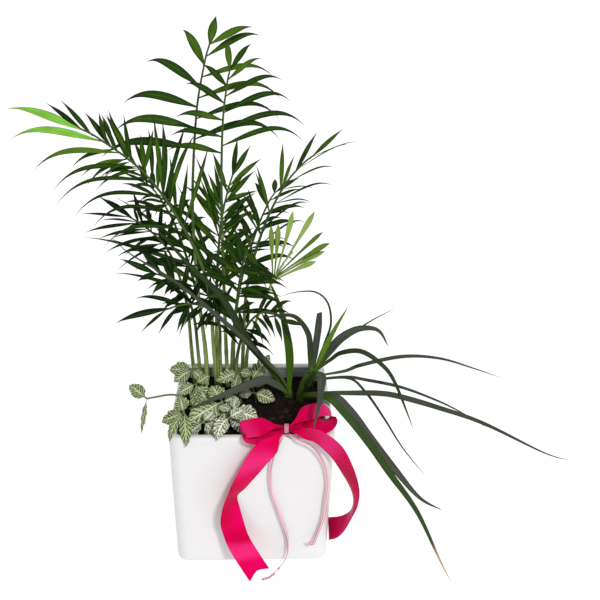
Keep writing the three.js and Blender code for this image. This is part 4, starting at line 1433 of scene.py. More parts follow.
# The fronds low in the dense middle and on the left have low tones: a near-black green that is partly painted
# shade.
FRONDS = [
    Frond("tall_left", [(-44, 44), (-45, 44, 160), (-50, 45, 215), (-53, 47, 294), (-48, 48, 373),
          (-40, 48, 417), (-35, 47, 434)], (0.1, -1, 0.25), 0.735, 6, (86, 82), 7.6, ((80, 4), (66, 38)),
          ((0.7, 1.2), (0.5, 2)), (0.3, 0.4), (0.2, 0.7), 11, tones=((0.36, 0.4), (0.4, 0.6)),
          slim=(1, 0.85)),
    Frond("tall_right", [(-24, 41), (-25, 41, 160), (-26, 39, 215), (-27, 36, 305), (-25, 33, 369),
          (-21, 31, 402), (-18, 30, 416)], (-0.05, -1, 0.2), 0.775, 6, (54, 74), 6.6, ((78, 22), (66, 24)),
          ((0.5, 1.2), (0.6, 2.4)), (0.26, 0.36), (0.3, 0.5), 23, tones=((0.36, 0.46), (0.36, 0.5)),
          slim=(0.85, 0.8)),
    # long_left's left leaflets run to tone 1, the bright yellow-green of painted light shining through.
    Frond("long_left", [(-34, 33), (-36, 33, 160), (-41, 29, 232), (-63, 24, 289), (-90, 14, 333),
          (-122, 4, 362), (-136, 0, 371)], (0.35, -0.8, 0.5), 0.6, 8, (84, 40), 7, ((44, 8), (42, 16)),
          ((0.28, 6), (0.1, 1)), (0.36, 0.1), (0.2, 0.2), 31, tones=((0.22, 1), (0.38, 0.14)),
          slim=(0.48, 0.8), broad=(2.7, 0.7), layers=3, extra=(0.25, 2.0)),
    Frond("mid_left", [(-56, 48), (-58, 49, 155), (-62, 52, 204), (-76, 56, 249), (-96, 60, 271),
          (-112, 62, 281)], (0.4, -0.7, 0.6), 0.76, 6, (50, 40), 6.6, ((56, 26), (46, 14)),
          ((0.1, 2), (0.1, 2)), (0.14, 0.14), (0.3, 0.3), 41, tones=((0.06, 0.1), (0.08, 0.12)),
          slim=(0.58, 0.6), layers=1),
    Frond("low_left", [(-30, 26), (-30, 26, 160), (-31, 18, 200), (-46, 8, 217), (-62, 0, 220),
          (-75, -6, 218)], (0.1, -0.6, 0.8), 0.6, 7, (29, 46), 5.6, ((62, 26), (52, 6)),
          ((-0.15, 2), (0.05, 2)), (0.14, 0.26), (0.3, 0.3), 53, tones=((0.04, 0.16), (0.04, 0.16)),
          slim=(0.75, 0.75), layers=1),
    Frond("front_left", [(-48, 28), (-50, 27, 160), (-53, 20, 204), (-62, 12, 232), (-74, 4, 244),
          (-82, 0, 249)], (0.35, -0.8, 0.5), 0.68, 5, (26, 36), 6.6, ((62, 30), (56, 6)),
          ((0.2, 2), (0, 2)), (0.3, 0.1), (0.3, 0.3), 61, tones=((0.06, 0.1), (0.06, 0.1)),
          slim=(0.85, 0.8), layers=1),
    Frond("high_right", [(-10, 46), (-9, 47, 160), (-5, 48, 220), (10, 52, 275), (28, 56, 312),
          (44, 59, 331), (53, 61, 338)], (-0.35, -0.85, 0.4), 0.58, 6, (56, 62), 6.4, ((42, 4), (34, 16)),
          ((0.35, 2), (0.3, 2)), (0.08, 0.25), (0.1, 1.15), 71, tones=((0.44, 0.34), (0.2, 0.3)),
          slim=(0.66, 0.75), layers=1, extra=(1.1, 0.7)),
    Frond("fan_right", [(-6, 34), (-5, 33, 160), (4, 30, 195), (15, 26, 226), (26, 23, 249), (35, 21, 262)],
          (-0.3, -0.85, 0.45), 0.8, 4, (48, 50), 5.6, ((32, 6), (38, 20)), ((0.15, 1), (0.2, 1)),
          (-0.02, 0.04), (0.1, 0.1), 83, tones=((0.9, 0.86), (0.9, 0.8)), slim=(0.95, 0.95), paddle=True),
    Frond("low_right", [(-16, 28), (-14, 27, 160), (-6, 20, 190), (6, 10, 208), (18, 4, 211), (26, 0, 206)],
          (-0.1, -0.6, 0.8), 0.5, 6, (36, 36), 5.6, ((62, 30), (62, 30)), ((0.4, 2), (0.4, 2)), (0.4, 0.4),
          (0.3, 0.3), 97, tones=((0.1, 0.14), (0.1, 0.14)), layers=1),
    Frond("middle", [(-18, 37), (-18, 36, 160), (-15, 28, 205), (-10, 12, 246), (-6, -4, 268),
          (-4, -14, 276)], (0, -0.75, 0.65), 0.52, 7, (50, 50), 8, ((62, 28), (62, 28)),
          ((0.4, 2), (0.4, 2)), (0.3, 0.3), (0.3, 0.3), 101, tones=((0.36, 0.42), (0.36, 0.42)),
          slim=(0.85, 0.85), layers=2, extra=(1.1, 0.8)),
    Frond("upright", [(-34, 46), (-34, 47, 170), (-33, 50, 225), (-29, 54, 274), (-23, 58, 304),
          (-18, 62, 320)], (0.1, -0.9, 0.3), 0.5, 8, (50, 50), 6.6, ((48, 14), (46, 18)),
          ((0.3, 2), (0.3, 2)), (0.1, 0.12), (0.3, 0.3), 113, tones=((0.34, 0.42), (0.34, 0.42)),
          slim=(0.8, 0.75), layers=3, extra=(2.3, 1.1)),
    Frond("back_left", [(-44, 56), (-46, 57, 160), (-54, 66, 210), (-72, 88, 262), (-90, 108, 288),
          (-102, 120, 297)], (0.35, -0.5, 0.8), 0.5, 7, (56, 56), 7, ((60, 24), (60, 24)),
          ((0.4, 2), (0.4, 2)), (0.3, 0.3), (0.1, 0.1), 127, tones=((0.14, 0.2), (0.14, 0.2)), layers=1),
    Frond("back_right", [(-20, 54), (-19, 55, 160), (-12, 64, 214), (2, 84, 258), (14, 104, 282),
          (21, 117, 290)], (-0.2, -0.5, 0.85), 0.5, 7, (54, 54), 7, ((60, 24), (60, 24)),
          ((0.4, 2), (0.4, 2)), (0.3, 0.3), (0.1, 0.1), 131, tones=((0.26, 0.34), (0.26, 0.34)), layers=1),
]


@dataclass(frozen=True)
class Spring:
    """Where a leaflet springs: its share of the rib, its side (-1 or 1) and its rank from start to tip."""

    along: float
    side: int
    rank: float


@dataclass
class Palm:
    """The parlour palm: a cane and rib for each frond, with pleated leaflets along both sides."""

    foot: float = 2.1
    tip: float = 0.75
    ring_gap: Pair = (34.0, 0.7)
    ring_swell: float = 0.14
    cane_rows: int = 90
    steps: int = 9
    last: float = 0.995
    stagger: float = 0.45
    close: float = 3.0
    fall: float = 4.0
    stiff: float = 0.6
    angle: float = 12.0
    length: Pair = (0.9, 1.08)
    lift: float = 0.3
    twist: float = 1.0
    widen: float = 4.0
    stub: float = 0.25
    spare_seed: int = 1000
    spare_last: float = 0.8
    spare_gap: float = 1.2
    spare_angle: float = 50.0
    spare_bend: float = 0.8
    spare_length: Pair = (0.7, 1.3)
    spare_tip: float = 0.6
    spare_width: float = 0.75
    gather: float = 0.2
    gather_power: float = 1.4
    tone_power: float = 2.6
    mottle: float = 0.12
    mottle_mix: Pair = (37.0, 11.0)
    rows: int = 18
    outline_at: tuple[float, ...] = (0, 0.07, 0.18, 0.34, 0.5, 0.66, 0.78, 0.88, 1)
    outline: tuple[float, ...] = (0.18, 0.26, 0.62, 0.97, 1, 0.8, 0.44, 0.18, 0)
    paddle: tuple[float, ...] = (0.24, 0.24, 0.26, 0.32, 0.46, 0.74, 1, 0.84, 0)
    section: Section = Section(0.45, 0.12, 9, camber=0.1, pleats=11.0, pleat_height=0.03)

    def build(self) -> None:
        """Makes every frond."""
        cane, leaf = Cane().material(), PalmLeaf().material()
        # The fan's paler greens are partly painted light shining through its leaflets.
        pale = PalmLeaf(young=(0.15, 0.24, 0.03), painted_backlight=(0.33, 0.47, 0.12)).material()
        tree = cane_tree(cane)
        for frond in FRONDS:
            self.frond(frond, tree, cane, pale if frond.paddle else leaf)

    def frond(self, frond: Frond, tree: bpy.types.GeometryNodeTree, cane: Material, leaf: Material) -> None:
        """Makes one frond in one piece.

        Args:
            frond: its sizes.
            tree: the tree that makes its cane.
            cane: the material of its cane.
            leaf: the material of its leaflets.
        """
        node = f"palm_frond_{frond.name}"
        rib = stem_line(frond.path)
        draft, tips, draws = Draft(), Tips(node), Draws(frond.seed)
        for spring in self.springs(frond):
            self.leaflet(draft, frond, rib, draws, spring, tips)
        draws = Draws(frond.seed + self.spare_seed)
        for spring in [*self.springs(frond)] * frond.layers:
            if spring.rank <= self.spare_last:
                shift = self.spare_gap * draws.either(1 - frond.start) / frond.pairs
                along = float(np.clip(spring.along + shift, 0, self.last))
                self.leaflet(draft, frond, rib, draws, replace(spring, along=along))
        leaves = draft.build(f"{frond.name}_leaflets", cane, leaf)
        whole = joined(f"{frond.name}_palm_frond", self.cane(frond, rib, tree), leaves)
        settle(whole, Slot.PALM, node)

    def springs(self, frond: Frond) -> Iterator[Spring]:
        """The places where the model's leaflets spring.

        Args:
            frond: the frond's sizes.

        Returns:
            The places, from the start to the tip, the left one of each pair first.
        """
        for i in range(frond.pairs):
            for side in (-1, 1):
                shift = self.stagger if side > 0 and i < frond.pairs - 1 else 0.0
                rank = min(1.0, (i + shift) / (frond.pairs - 1))
                yield Spring(between(frond.start, self.last, rank), side, rank)

    def leaflet(self, draft: Draft, frond: Frond, rib: Line, draws: Draws, spring: Spring,
                tips: Tips | None = None) -> None:
        """Adds one leaflet where the model has it, or a finer one between those.

        Args:
            draft: the frond's mesh.
            frond: its sizes.
            rib: its line.
            draws: its random numbers.
            spring: where the leaflet springs.
            tips: the corners of its node, for a leaflet of the model.
        """
        rank, k = spring.rank, int(spring.side > 0)
        root = rib.chord(spring.along, self.steps)
        tangent = rib.heading(spring.along)[0]
        sideways = unit(np.cross(tangent, np.array(frond.face, float)))
        face = unit(np.cross(sideways, tangent))
        closing = rank**self.close
        shorter, power = frond.fade[k]
        sway = draws.either(self.angle if tips else self.spare_angle)
        turn = math.radians(between(*frond.spread[k], closing) + sway)
        reach = frond.length[k] * (1 - shorter * rank**power) * between(*self.length, draws())
        lift, twist = draws.either(self.lift), draws.either(self.twist)
        heading = unit(tangent * math.cos(turn) + sideways * spring.side * math.sin(turn) + face * lift)
        fall = frond.droop[k] * (1 - self.stiff * closing)

        def line(s: Number, bend: float, share: float) -> Array:
            """The leaflet's line for a bend and a share of its length."""
            size, s = reach * share, np.atleast_1d(s)[:, None]
            return root + heading * size * s - UP * fall * size * s**self.fall + face * bend * size * s**2

        if tips:
            bend = tips.choose(line)
        else:
            share = between(frond.extra[k], self.spare_tip, rank)
            bend = (draws.either(self.spare_bend), share * between(*self.spare_length, draws()))
        if bend is None:
            return
        s = np.linspace(0, 1, self.rows)
        places = line(s, *bend)
        if frond.paddle:
            foot = rib.chord(between(frond.start, spring.along, self.gather), self.steps)
            places += (foot - root) * (1 - s)[:, None] ** self.gather_power
        width = frond.width * frond.slim[k] * between(1, frond.broad[k], rank**self.widen)
        width *= min(1.0, self.stub + bend[1]) if tips else self.spare_width
        halves = smoothed(np.interp(s, self.outline_at, self.paddle if frond.paddle else self.outline))
        faces = turned(face, heading, twist * s - spring.side * frond.roll[k])
        mottle = self.mottle * math.sin(np.dot(self.mottle_mix, (lift, twist)))
        tone = toned(between(*frond.tones[k], rank**self.tone_power) + mottle)
        add_leaf(draft, places, faces, halves * width / 2, self.section, 1, tone)

    def cane(self, frond: Frond, rib: Line, tree: bpy.types.GeometryNodeTree) -> Piece:
        """Makes a frond's cane and rib along its line.

        Args:
            frond: its sizes.
            rib: its line.
            tree: the tree that makes it.

        Returns:
            The cane.
        """
        first_gap, more = self.ring_gap
        values = {"Foot Radius": self.foot * MM, "Tip Radius": self.tip * MM, "Ring Swell": self.ring_swell,
                  "Ring Spacing": (first_gap + more * frond.pairs) * MM, "Leaf Start": frond.start,
                  "Length": rib.length * MM, "Shade": frond.tones[0][0]}
        made = plain_mesh(f"{frond.name}_cane", wire(rib, self.cane_rows), tree, values)
        outwards(made.data)
        return made


def wire(line: Line, count: int) -> Piece:
    """A poly curve along a line, in metres.

    Args:
        line: the line.
        count: the number of its points.

    Returns:
        The curve's object.
    """
    data = bpy.data.curves.new("wire", "CURVE")
    data.dimensions = "3D"
    spline = data.splines.new("POLY")
    spline.points.add(count - 1)
    places = line.at(np.linspace(0, 1, count)) * MM
    spline.points.foreach_set("co", np.column_stack([places, np.ones(count)]).astype(np.float32).ravel())
    return linked("wire", data)


def joined(name: str, whole: Piece, *others: Piece) -> Piece:
    """Joins objects into one of a new name, keeping their materials and values.

    Args:
        name: the name of the whole.
        whole: the object that the others go into.
        others: the others, which are used up.

    Returns:
        The whole.
    """
    pieces = [whole, *others]
    with bpy.context.temp_override(active_object=whole, selected_editable_objects=pieces,
                                   selected_objects=pieces):
        bpy.ops.object.join()
    whole.name = whole.data.name = name
    return whole


def cane_tree(finish: Material) -> bpy.types.GeometryNodeTree:
    """The tree that makes a ringed, thinning stem along a curve.

    Args:
        finish: the stem's material.

    Returns:
        The tree. The mesh keeps how far along and round each corner is, and where the rings are.
    """
    t = Grower("ringed_cane", Foot_Radius="Float", Tip_Radius="Float", Ring_Spacing="Float",
               Ring_Swell="Float", Leaf_Start="Float", Length="Float", Shade="Float")
    ring_half, bare_share, sides = 0.06, 0.75, 10
    share = t.factor()
    phase = (share * t.given("Length") / t.given("Ring Spacing")).fraction()
    ring = abs(phase - 0.5).smooth(ring_half, 0.0) * share.below(t.given("Leaf Start") * bare_share)
    plain = share * (t.given("Tip Radius") - t.given("Foot Radius")) + t.given("Foot Radius")
    radius = plain * (ring * t.given("Ring Swell") + 1.0)
    curve = t.given("Geometry")
    for label, value in (("along", share), ("under", ring), ("tone", t.given("Shade"))):
        curve = t.store(curve, label, value)
    circle = t.add("GeometryNodeCurvePrimitiveCircle", {"Resolution": sides, "Radius": 1.0}).outputs[0]
    profile = t.store(circle, "across", t.factor() * 2.0)
    stem = t.add("GeometryNodeCurveToMesh",
                 {"Curve": curve, "Profile Curve": profile, "Scale": radius, "Fill Caps": True})
    smooth = t.add("GeometryNodeSetShadeSmooth", {"Geometry": stem.outputs[0]})
    return t.finish(smooth.outputs[0], finish)


# ---- Dracaena ----

TILTED = (0, -0.62, 0.78)
FACING = (0, -1, 0.1)


@dataclass(frozen=True)
class Strap:
    """One strap leaf: how far up its stalk it springs, its line, its width, its face and its shade."""

    at: float
    path: list[Triple]
    width: float
    face: Triple = TILTED
    tone: float = 0.2
    blunt: bool = False
    dry: Pair | None = None
    slim: float = 1.0


@dataclass(frozen=True)
class Shoot:
    """One dracaena shoot: its stalk and its leaves."""

    name: str
    stalk: list[tuple[float, ...]]
    leaves: list[Strap]


# A leaf's low tone gives it the grey-green that holds its painted sheen.
SHOOTS = [
    Shoot("left", [(34, 22), (34, 22, 127)], [
        Strap(0.8, [(34, 28, 160), (28, 31, 194), (20, 32, 218), (12, 34, 235)], 7.6, FACING, tone=0.66),
        Strap(0.82, [(24, 20, 138), (11, 18, 157), (-5, 9, 183), (-27, -4, 230), (-54, -10, 262),
              (-80, -18, 298)], 8, tone=0.3),
        Strap(0.9, [(25, 16, 144), (10, 9, 165), (-5, 3, 184), (-24, -2, 205), (-65, -4, 243),
              (-102, -6, 269), (-117, -7, 285)], 6.4, tone=0.1, slim=0.72),
        Strap(0.78, [(25, 12, 134), (13, 0, 147), (4, -10, 151), (-11, -22, 151), (-30, -31, 147),
              (-57, -37, 138)], 9, tone=0.02),
    ]),
    Shoot("right", [(43.5, 14.5), (47, 15, 134), (59, 18, 151)], [
        Strap(0.96, [(65, 19, 168), (75, 20, 190), (86, 22, 210)], 5.4, FACING, tone=0.95),
        Strap(0.92, [(65, 20, 173), (71, 24, 192), (68, 27, 211), (57, 29, 221), (40, 32, 220),
              (24, 35, 214)], 2.6, (0.5, -0.8, 0.3), tone=0.24),
        Strap(0.86, [(58, 24, 171), (60, 28, 186), (61, 31, 201)], 6.4, FACING, tone=0.12, blunt=True),
        Strap(0.82, [(52, 14, 173), (49, 10, 190), (39, 5, 206), (27, 0, 211), (8, -5, 210)], 6.4,
              (0.35, -0.75, 0.5), tone=0.26),
        Strap(0.9, [(74, 22, 171), (86, 27, 180), (100, 32, 184), (117, 36, 180), (128, 38, 162)], 8.4,
              tone=0.12),
        Strap(0.94, [(80, 28, 170), (92, 33, 178), (110, 42, 187), (134, 50, 197)], 2.4, tone=0.06),
        Strap(0.88, [(72, 15, 161), (80, 11, 169), (97, 6, 173), (114, 1, 164), (128, -3, 147),
              (148, -9, 100)], 5, tone=0.3),
        Strap(0.8, [(85, 20, 146), (100, 24, 150), (140, 30, 156), (177, 36, 151), (213, 40, 138),
              (242, 43, 126)], 4, tone=0.1),
        Strap(0.74, [(85, 14, 143), (104, 14, 140), (138, 12, 133), (175, 9, 119), (200, 7, 106),
              (223, 5, 92)], 3.4, tone=0.14),
        Strap(0.48, [(59, 0, 132), (69, -4, 136), (88, -4, 136), (115, -5, 136), (134, -6, 133),
              (171, -8, 122), (212, -12, 108), (270, -18, 80), (296, -21, 73)], 5.6, tone=0.16),
        Strap(0.7, [(86, 8, 145), (102, 2, 135), (120, -5, 111), (139, -9, 81), (164, -14, 50)], 2.6,
              tone=0.24),
        Strap(0.44, [(70, -12, 137), (86, -18, 125), (104, -26, 103), (127, -42, 79), (149, -52, 56),
              (170, -56, 45)], 10.5, tone=0.08),
        Strap(0.43, [(65, -14, 138), (83, -22, 124), (104, -34, 101), (121, -46, 79), (144, -68, 53),
              (163, -88, 17), (172, -100, 2.5)], 7.4, tone=0.42, dry=(0.84, 0.9)),
        Strap(0.92, [(61, -8, 157), (58, -46, 164), (54, -74, 161), (49, -88, 147)], 8.4,
              (0.1, -0.35, 0.93), tone=0.02),
    ]),
]


@dataclass
class Dracaena:
    """The strap-leaved dracaena: two shoots with arching leaves."""

    stalk: float = 3.4
    top: float = 3.8
    inner: float = 0.92
    stalk_rows: int = 24
    stalk_sides: int = 14
    dome: tuple[float, ...] = (0.92, 0.8, 0.6, 0.3)
    stalk_tone: float = 0.4
    stalk_along: float = 0.3
    root: float = 0.5
    full: float = 0.3
    taper: float = 1.5
    power: float = 0.75
    cut_full: float = 1 / 3
    cut_from: float = 0.8
    cut_end: float = 0.7
    slant: float = 1.6
    least_rows: int = 12
    row_step: float = 4.0
    clasp: float = 0.3
    clasp_aim: float = 0.25
    clasp_tones: Pair = (0.3, 0.8)
    clasp_along: Pair = (0.3, 0.1)
    clasp_out: float = 1.02
    clasp_wide: float = 0.72
    clasp_least: float = 0.05
    clasp_rows: int = 9
    section: Section = Section(0.7, 0.2, 11, camber=0.08)
    clasping: Section = Section(0.6, -0.5, 11)

    def build(self) -> None:
        """Makes both shoots."""
        finish = StrapLeaf().material()
        for shoot in SHOOTS:
            self.shoot(shoot, finish)

    def shoot(self, shoot: Shoot, finish: Material) -> None:
        """Makes one shoot in one piece.

        Args:
            shoot: its sizes.
            finish: the leaves' material.
        """
        node = f"dracaena_{shoot.name}_shoot"
        stalk = stem_line(shoot.stalk)
        draft, tips = Draft(names=(*Draft.names, "dry")), Tips(node)
        radii = between(self.stalk, self.top, np.linspace(0, 1, self.stalk_rows)) * self.inner
        radii[-len(self.dome):] *= self.dome
        draft.rings(stem_rings(stalk, radii, self.stalk_sides), along=self.stalk_along, tone=self.stalk_tone)
        for leaf in shoot.leaves:
            self.leaf(draft, leaf, stalk, tips)
        settle(draft.build(f"{shoot.name}_dracaena_shoot", finish), Slot.DRACAENA, node)

    def leaf(self, draft: Draft, leaf: Strap, stalk: Line, tips: Tips) -> None:
        """Adds one leaf where the model has it.

        Args:
            draft: the shoot's mesh.
            leaf: its sizes.
            stalk: the line of the stalk.
            tips: the corners of the shoot's node.
        """
        curve = Line([stalk.at(leaf.at)[0], *leaf.path])
        face = np.array(leaf.face, float)

        def line(s: Number, bend: float, share: float) -> Array:
            """The leaf's line for a bend and a share of its length."""
            s = np.atleast_1d(s)
            return curve.at(s * share) + face * (bend * STRAP_SWAY * s**2)[:, None]

        bend = tips.choose(line)
        if bend is None and not leaf.blunt:
            return
        bend = bend or BENDS[0]
        rows = max(self.least_rows, round(curve.length * bend[1] / self.row_step))
        s = np.linspace(0, 1, rows)
        add_leaf(draft, line(s, *bend), np.tile(face, (rows, 1)), self.halves(leaf, s), self.section, 0,
                 leaf.tone, cut=self.slant if leaf.blunt else None, dry=leaf.dry)
        self.sheath(draft, leaf, stalk, curve)

    def sheath(self, draft: Draft, leaf: Strap, stalk: Line, curve: Line) -> None:
        """Adds the flat foot of a leaf, which clasps the stalk below the place where the leaf springs.

        Args:
            draft: the shoot's mesh.
            leaf: its sizes.
            stalk: the line of the stalk.
            curve: the line of the leaf.
        """
        s = np.linspace(1, 0, self.clasp_rows)
        up = leaf.at - self.clasp * (1 - s)
        aim = unit(curve.at(self.clasp_aim)[0] - curve.at(0.0)[0])
        headings = stalk.heading(up)
        out = unit(aim - headings * np.sum(headings * aim, axis=1, keepdims=True))
        line = stalk.at(up) + out * (self.stalk * between(self.inner, self.clasp_out, s))[:, None]
        halves = self.stalk * self.clasp_wide * np.sqrt(s) + leaf.width * self.clasp_least
        halves[-1] = 0
        add_leaf(draft, line, out, halves, self.clasping, 0, between(*self.clasp_tones, leaf.tone),
                 along=between(*self.clasp_along, s))

    def halves(self, leaf: Strap, s: Array) -> Array:
        """The half width of a leaf.

        Args:
            leaf: its sizes.
            s: shares of its length.

        Returns:
            The half width at each share.
        """
        if leaf.blunt:
            shape = np.interp(s, (0, self.cut_full, self.cut_from, 1), (self.root, 1, 1, self.cut_end))
        else:
            swell = between(self.root, 1, ease(s, 0, self.full))
            shape = smoothed(swell * np.minimum(1, self.taper * (1 - s) ** self.power))
        return leaf.width / 2 * leaf.slim * shape


# ---- Fittonia ----


@dataclass(frozen=True)
class Sprig:
    """One fittonia sprig: its stem, its leaves, how white their veins are and which hang over the rim.

    A leaf is its direction in degrees, its length and, where given, its width as a share of its length.
    A leaf over the rim has the place of its tip, under its number.
    """

    name: str
    path: list[tuple[float, ...]]
    leaves: list[tuple[float, ...]]
    white: float
    over_rim: dict[int, Triple] = field(default_factory=dict)


SPRIGS = [
    Sprig("trailing", [(-52, -8), (-58, -10, 130), (-70, -6, 136), (-90, -2, 131), (-95, -2, 130)],
          [(128, 23, 0.55), (262, 29, 0.3)], 0.3),
    Sprig("corner", [(-51, -36), (-56, -42, 134), (-58, -44, 139)], [(172, 21), (248, 29, 0.55),
          (284, 28, 0.5), (100, 20)], 0.25, {1: (-67.5, -74.5, 129.5), 2: (-54, -75, 125)}),
    Sprig("front_left", [(-30, -18), (-28, -21, 132), (-26, -23, 138)], [(211, 34), (280, 25), (118, 24),
          (25, 15)], 0.4),
    Sprig("low", [(-37, -44), (-40, -49, 130), (-41, -52, 135)], [(186, 20), (300, 17), (60, 15)], 0.9),
    Sprig("front_middle", [(-22, -42), (-21, -46, 131), (-20, -48, 136)], [(205, 23), (262, 19), (45, 17)],
          0.95, {1: (-28.5, -74, 130)}),
    Sprig("front_right", [(-16, -30), (-17, -34, 130), (-17, -36, 137)], [(342, 23, 0.85), (300, 21),
          (140, 15), (70, 14)], 0.75),
    Sprig("right", [(9, 15), (7, 12, 126), (1, 8, 130)], [(328, 21), (175, 14)], 0.6),
    Sprig("middle", [(-45, 5), (-49, 3, 136), (-51, 1, 143)], [(258, 25, 0.5), (302, 25), (200, 18),
          (35, 16)], 0.35),
    Sprig("back_left", [(-50, 16), (-54, 21, 138), (-56, 24, 146)], [(160, 22), (210, 19), (25, 17),
          (330, 15)], 0.3),
    Sprig("back", [(-11, 10), (-12, 13, 132), (-13, 16, 147)], [(178, 22), (235, 16), (345, 13)], 0.5),
    Sprig("slim", [(3, 10), (1, 14, 128), (-2, 18, 136)], [(50, 37, 0.4), (112, 16), (345, 14)], 0.4),
]


@dataclass
class Fittonia:
    """The white-veined fittonia: short stems with ovate, quilted, wavy leaves."""

    stem: float = 1.1
    tip: float = 0.8
    stem_rows: int = 20
    stem_sides: int = 10
    look: Triple = (-0.12, -0.62, 0.78)
    turn: float = 0.7
    droop: float = 0.14
    wide: float = 0.66
    slender: float = 0.35
    rolled: float = 0.5
    arch: float = 6.0
    drop: Triple = (0.0, 5.0, 9.0)
    rows: int = 34
    petiole: float = 0.15
    side_veins: float = 7.0
    vein_sweep: Pair = (0.34, 0.1)
    quilt: float = 0.026
    ripple: float = 0.06
    ripples: float = 3.5
    scallop: float = 0.025
    scallop_from: Pair = (0.2, 0.4)
    quilt_ends: Pair = (0.02, 0.15)
    phase: float = 9.0
    vary: float = 0.3
    outline_at: tuple[float, ...] = (0, 0.13, 0.17, 0.22, 0.3, 0.42, 0.56, 0.7, 0.83, 0.93, 1)
    outline: tuple[float, ...] = (0.1, 0.1, 0.26, 0.56, 0.82, 0.99, 1, 0.84, 0.56, 0.27, 0)
    section: Section = Section(0.5, 0.14, 17, camber=0.12)

    def build(self) -> None:
        """Makes every sprig."""
        leaf = NetLeaf().material()
        stem = Cane(pale=(0.25, 0.3, 0.1), green=(0.16, 0.2, 0.06)).material()
        for sprig in SPRIGS:
            self.sprig(sprig, stem, leaf)

    def sprig(self, sprig: Sprig, stem: Material, leaf: Material) -> None:
        """Makes one sprig in one piece.

        Args:
            sprig: its sizes.
            stem: the stem's material.
            leaf: the leaves' material.
        """
        node = f"fittonia_{sprig.name}_sprig"
        draft, tips, draws = Draft(), Tips(node), Draws(len(node))
        shares = np.linspace(0, 1, self.stem_rows)
        rings = stem_rings(stem_line(sprig.path), between(self.stem, self.tip, shares), self.stem_sides)
        draft.rings(rings, along=np.repeat(shares / 2, self.stem_sides))
        for i in range(len(sprig.leaves)):
            self.leaf(draft, sprig, i, draws, tips)
        settle(draft.build(f"{sprig.name}_fittonia_sprig", stem, leaf), Slot.FITTONIA, node)

    def leaf(self, draft: Draft, sprig: Sprig, number: int, draws: Draws, tips: Tips) -> None:
        """Adds one leaf where the model has it.

        Args:
            draft: the sprig's mesh.
            sprig: its sizes.
            number: the leaf's number.
            draws: the sprig's random numbers.
            tips: the corners of the sprig's node.
        """
        root = np.array(sprig.path[-1], float)
        direction, size, wide = (*sprig.leaves[number], self.wide)[:3]
        jitter = np.array([draws.either(1.0) for _ in range(3)])
        face = unit(np.array(self.look) + jitter * self.turn)
        right = unit(np.cross(np.array([0.0, 1, 0]), face))
        heading = turned(right, face, math.radians(direction))

        def line(s: Number, bend: float, share: float) -> Array:
            """The leaf's line for a bend and a share of its length."""
            reach, s = size * share, np.atleast_1d(s)[:, None]
            return root + (heading + face * bend) * reach * s - UP * self.droop * reach * s**2

        bend = tips.choose(line)
        if bend is None:
            return
        length = size * bend[1]
        s = np.linspace(0, 1, self.rows)
        wave = np.sin(s * math.tau * self.side_veins + self.phase * jitter[0]) * ease(s, *self.scallop_from)
        halves = smoothed(np.interp(s, self.outline_at, self.outline)) * (1 + self.scallop * wave)
        halves *= length / 2 * wide * (self.rolled if wide < self.slender else 1)
        blade = np.clip((s - self.petiole) / (1 - self.petiole), 0, 1)
        tone = toned(sprig.white + self.vary * (jitter[0] + jitter[2]))
        hangs = sprig.over_rim.get(number)
        places = self.over_rim(root, np.array(hangs), s[:, None]) if hangs else line(s, *bend)
        add_leaf(draft, places, np.tile(face, (self.rows, 1)), halves, self.section, 1, tone,
                 relief=self.quilting(blade, length, jitter[1]), along=blade)

    def over_rim(self, root: Array, tip: Array, s: Array) -> Array:
        """The line of a leaf that arches over the rim and hangs in front of the pot."""
        first, second = root + (tip - root) / 3 + UP * self.arch, tip + np.array(self.drop)
        return (1 - s)**3 * root + 3 * (1 - s)**2 * s * first + 3 * (1 - s) * s**2 * second + s**3 * tip

    def quilting(self, blade: Array, size: float, phase: float) -> Array:
        """The pillows between the side veins and the ripples of the edge, in millimetres.

        Args:
            blade: shares along the blade.
            size: the leaf's length.
            phase: where the ripples start.

        Returns:
            Heights by place along and across.
        """
        x = np.abs(np.linspace(-1, 1, self.section.places))[None]
        blade = blade[:, None]
        sweep, bow = self.vein_sweep
        run = (blade - x * (sweep - bow * x)) * self.side_veins
        pillow = np.abs(np.sin(run * math.pi)) * (x * (1 - x) * 4) ** 0.5
        edge = np.sin(blade * math.tau * self.ripples + phase * self.phase) * x**3
        first, full = self.quilt_ends
        there = ease(blade, first, full) * ease(1 - blade, 0.0, full)
        return size * there * (self.quilt * pillow + self.ripple * edge)


# ---- Ribbon bow and its tie ----

KNOT = (28.4, -67.5, 137.2)


@dataclass(frozen=True)
class Run:
    """One run of ribbon: how many of its ends are in the knot, its middle line and the way it lies across."""

    name: str
    ends: int
    line: list[Triple]
    across: list[Triple]


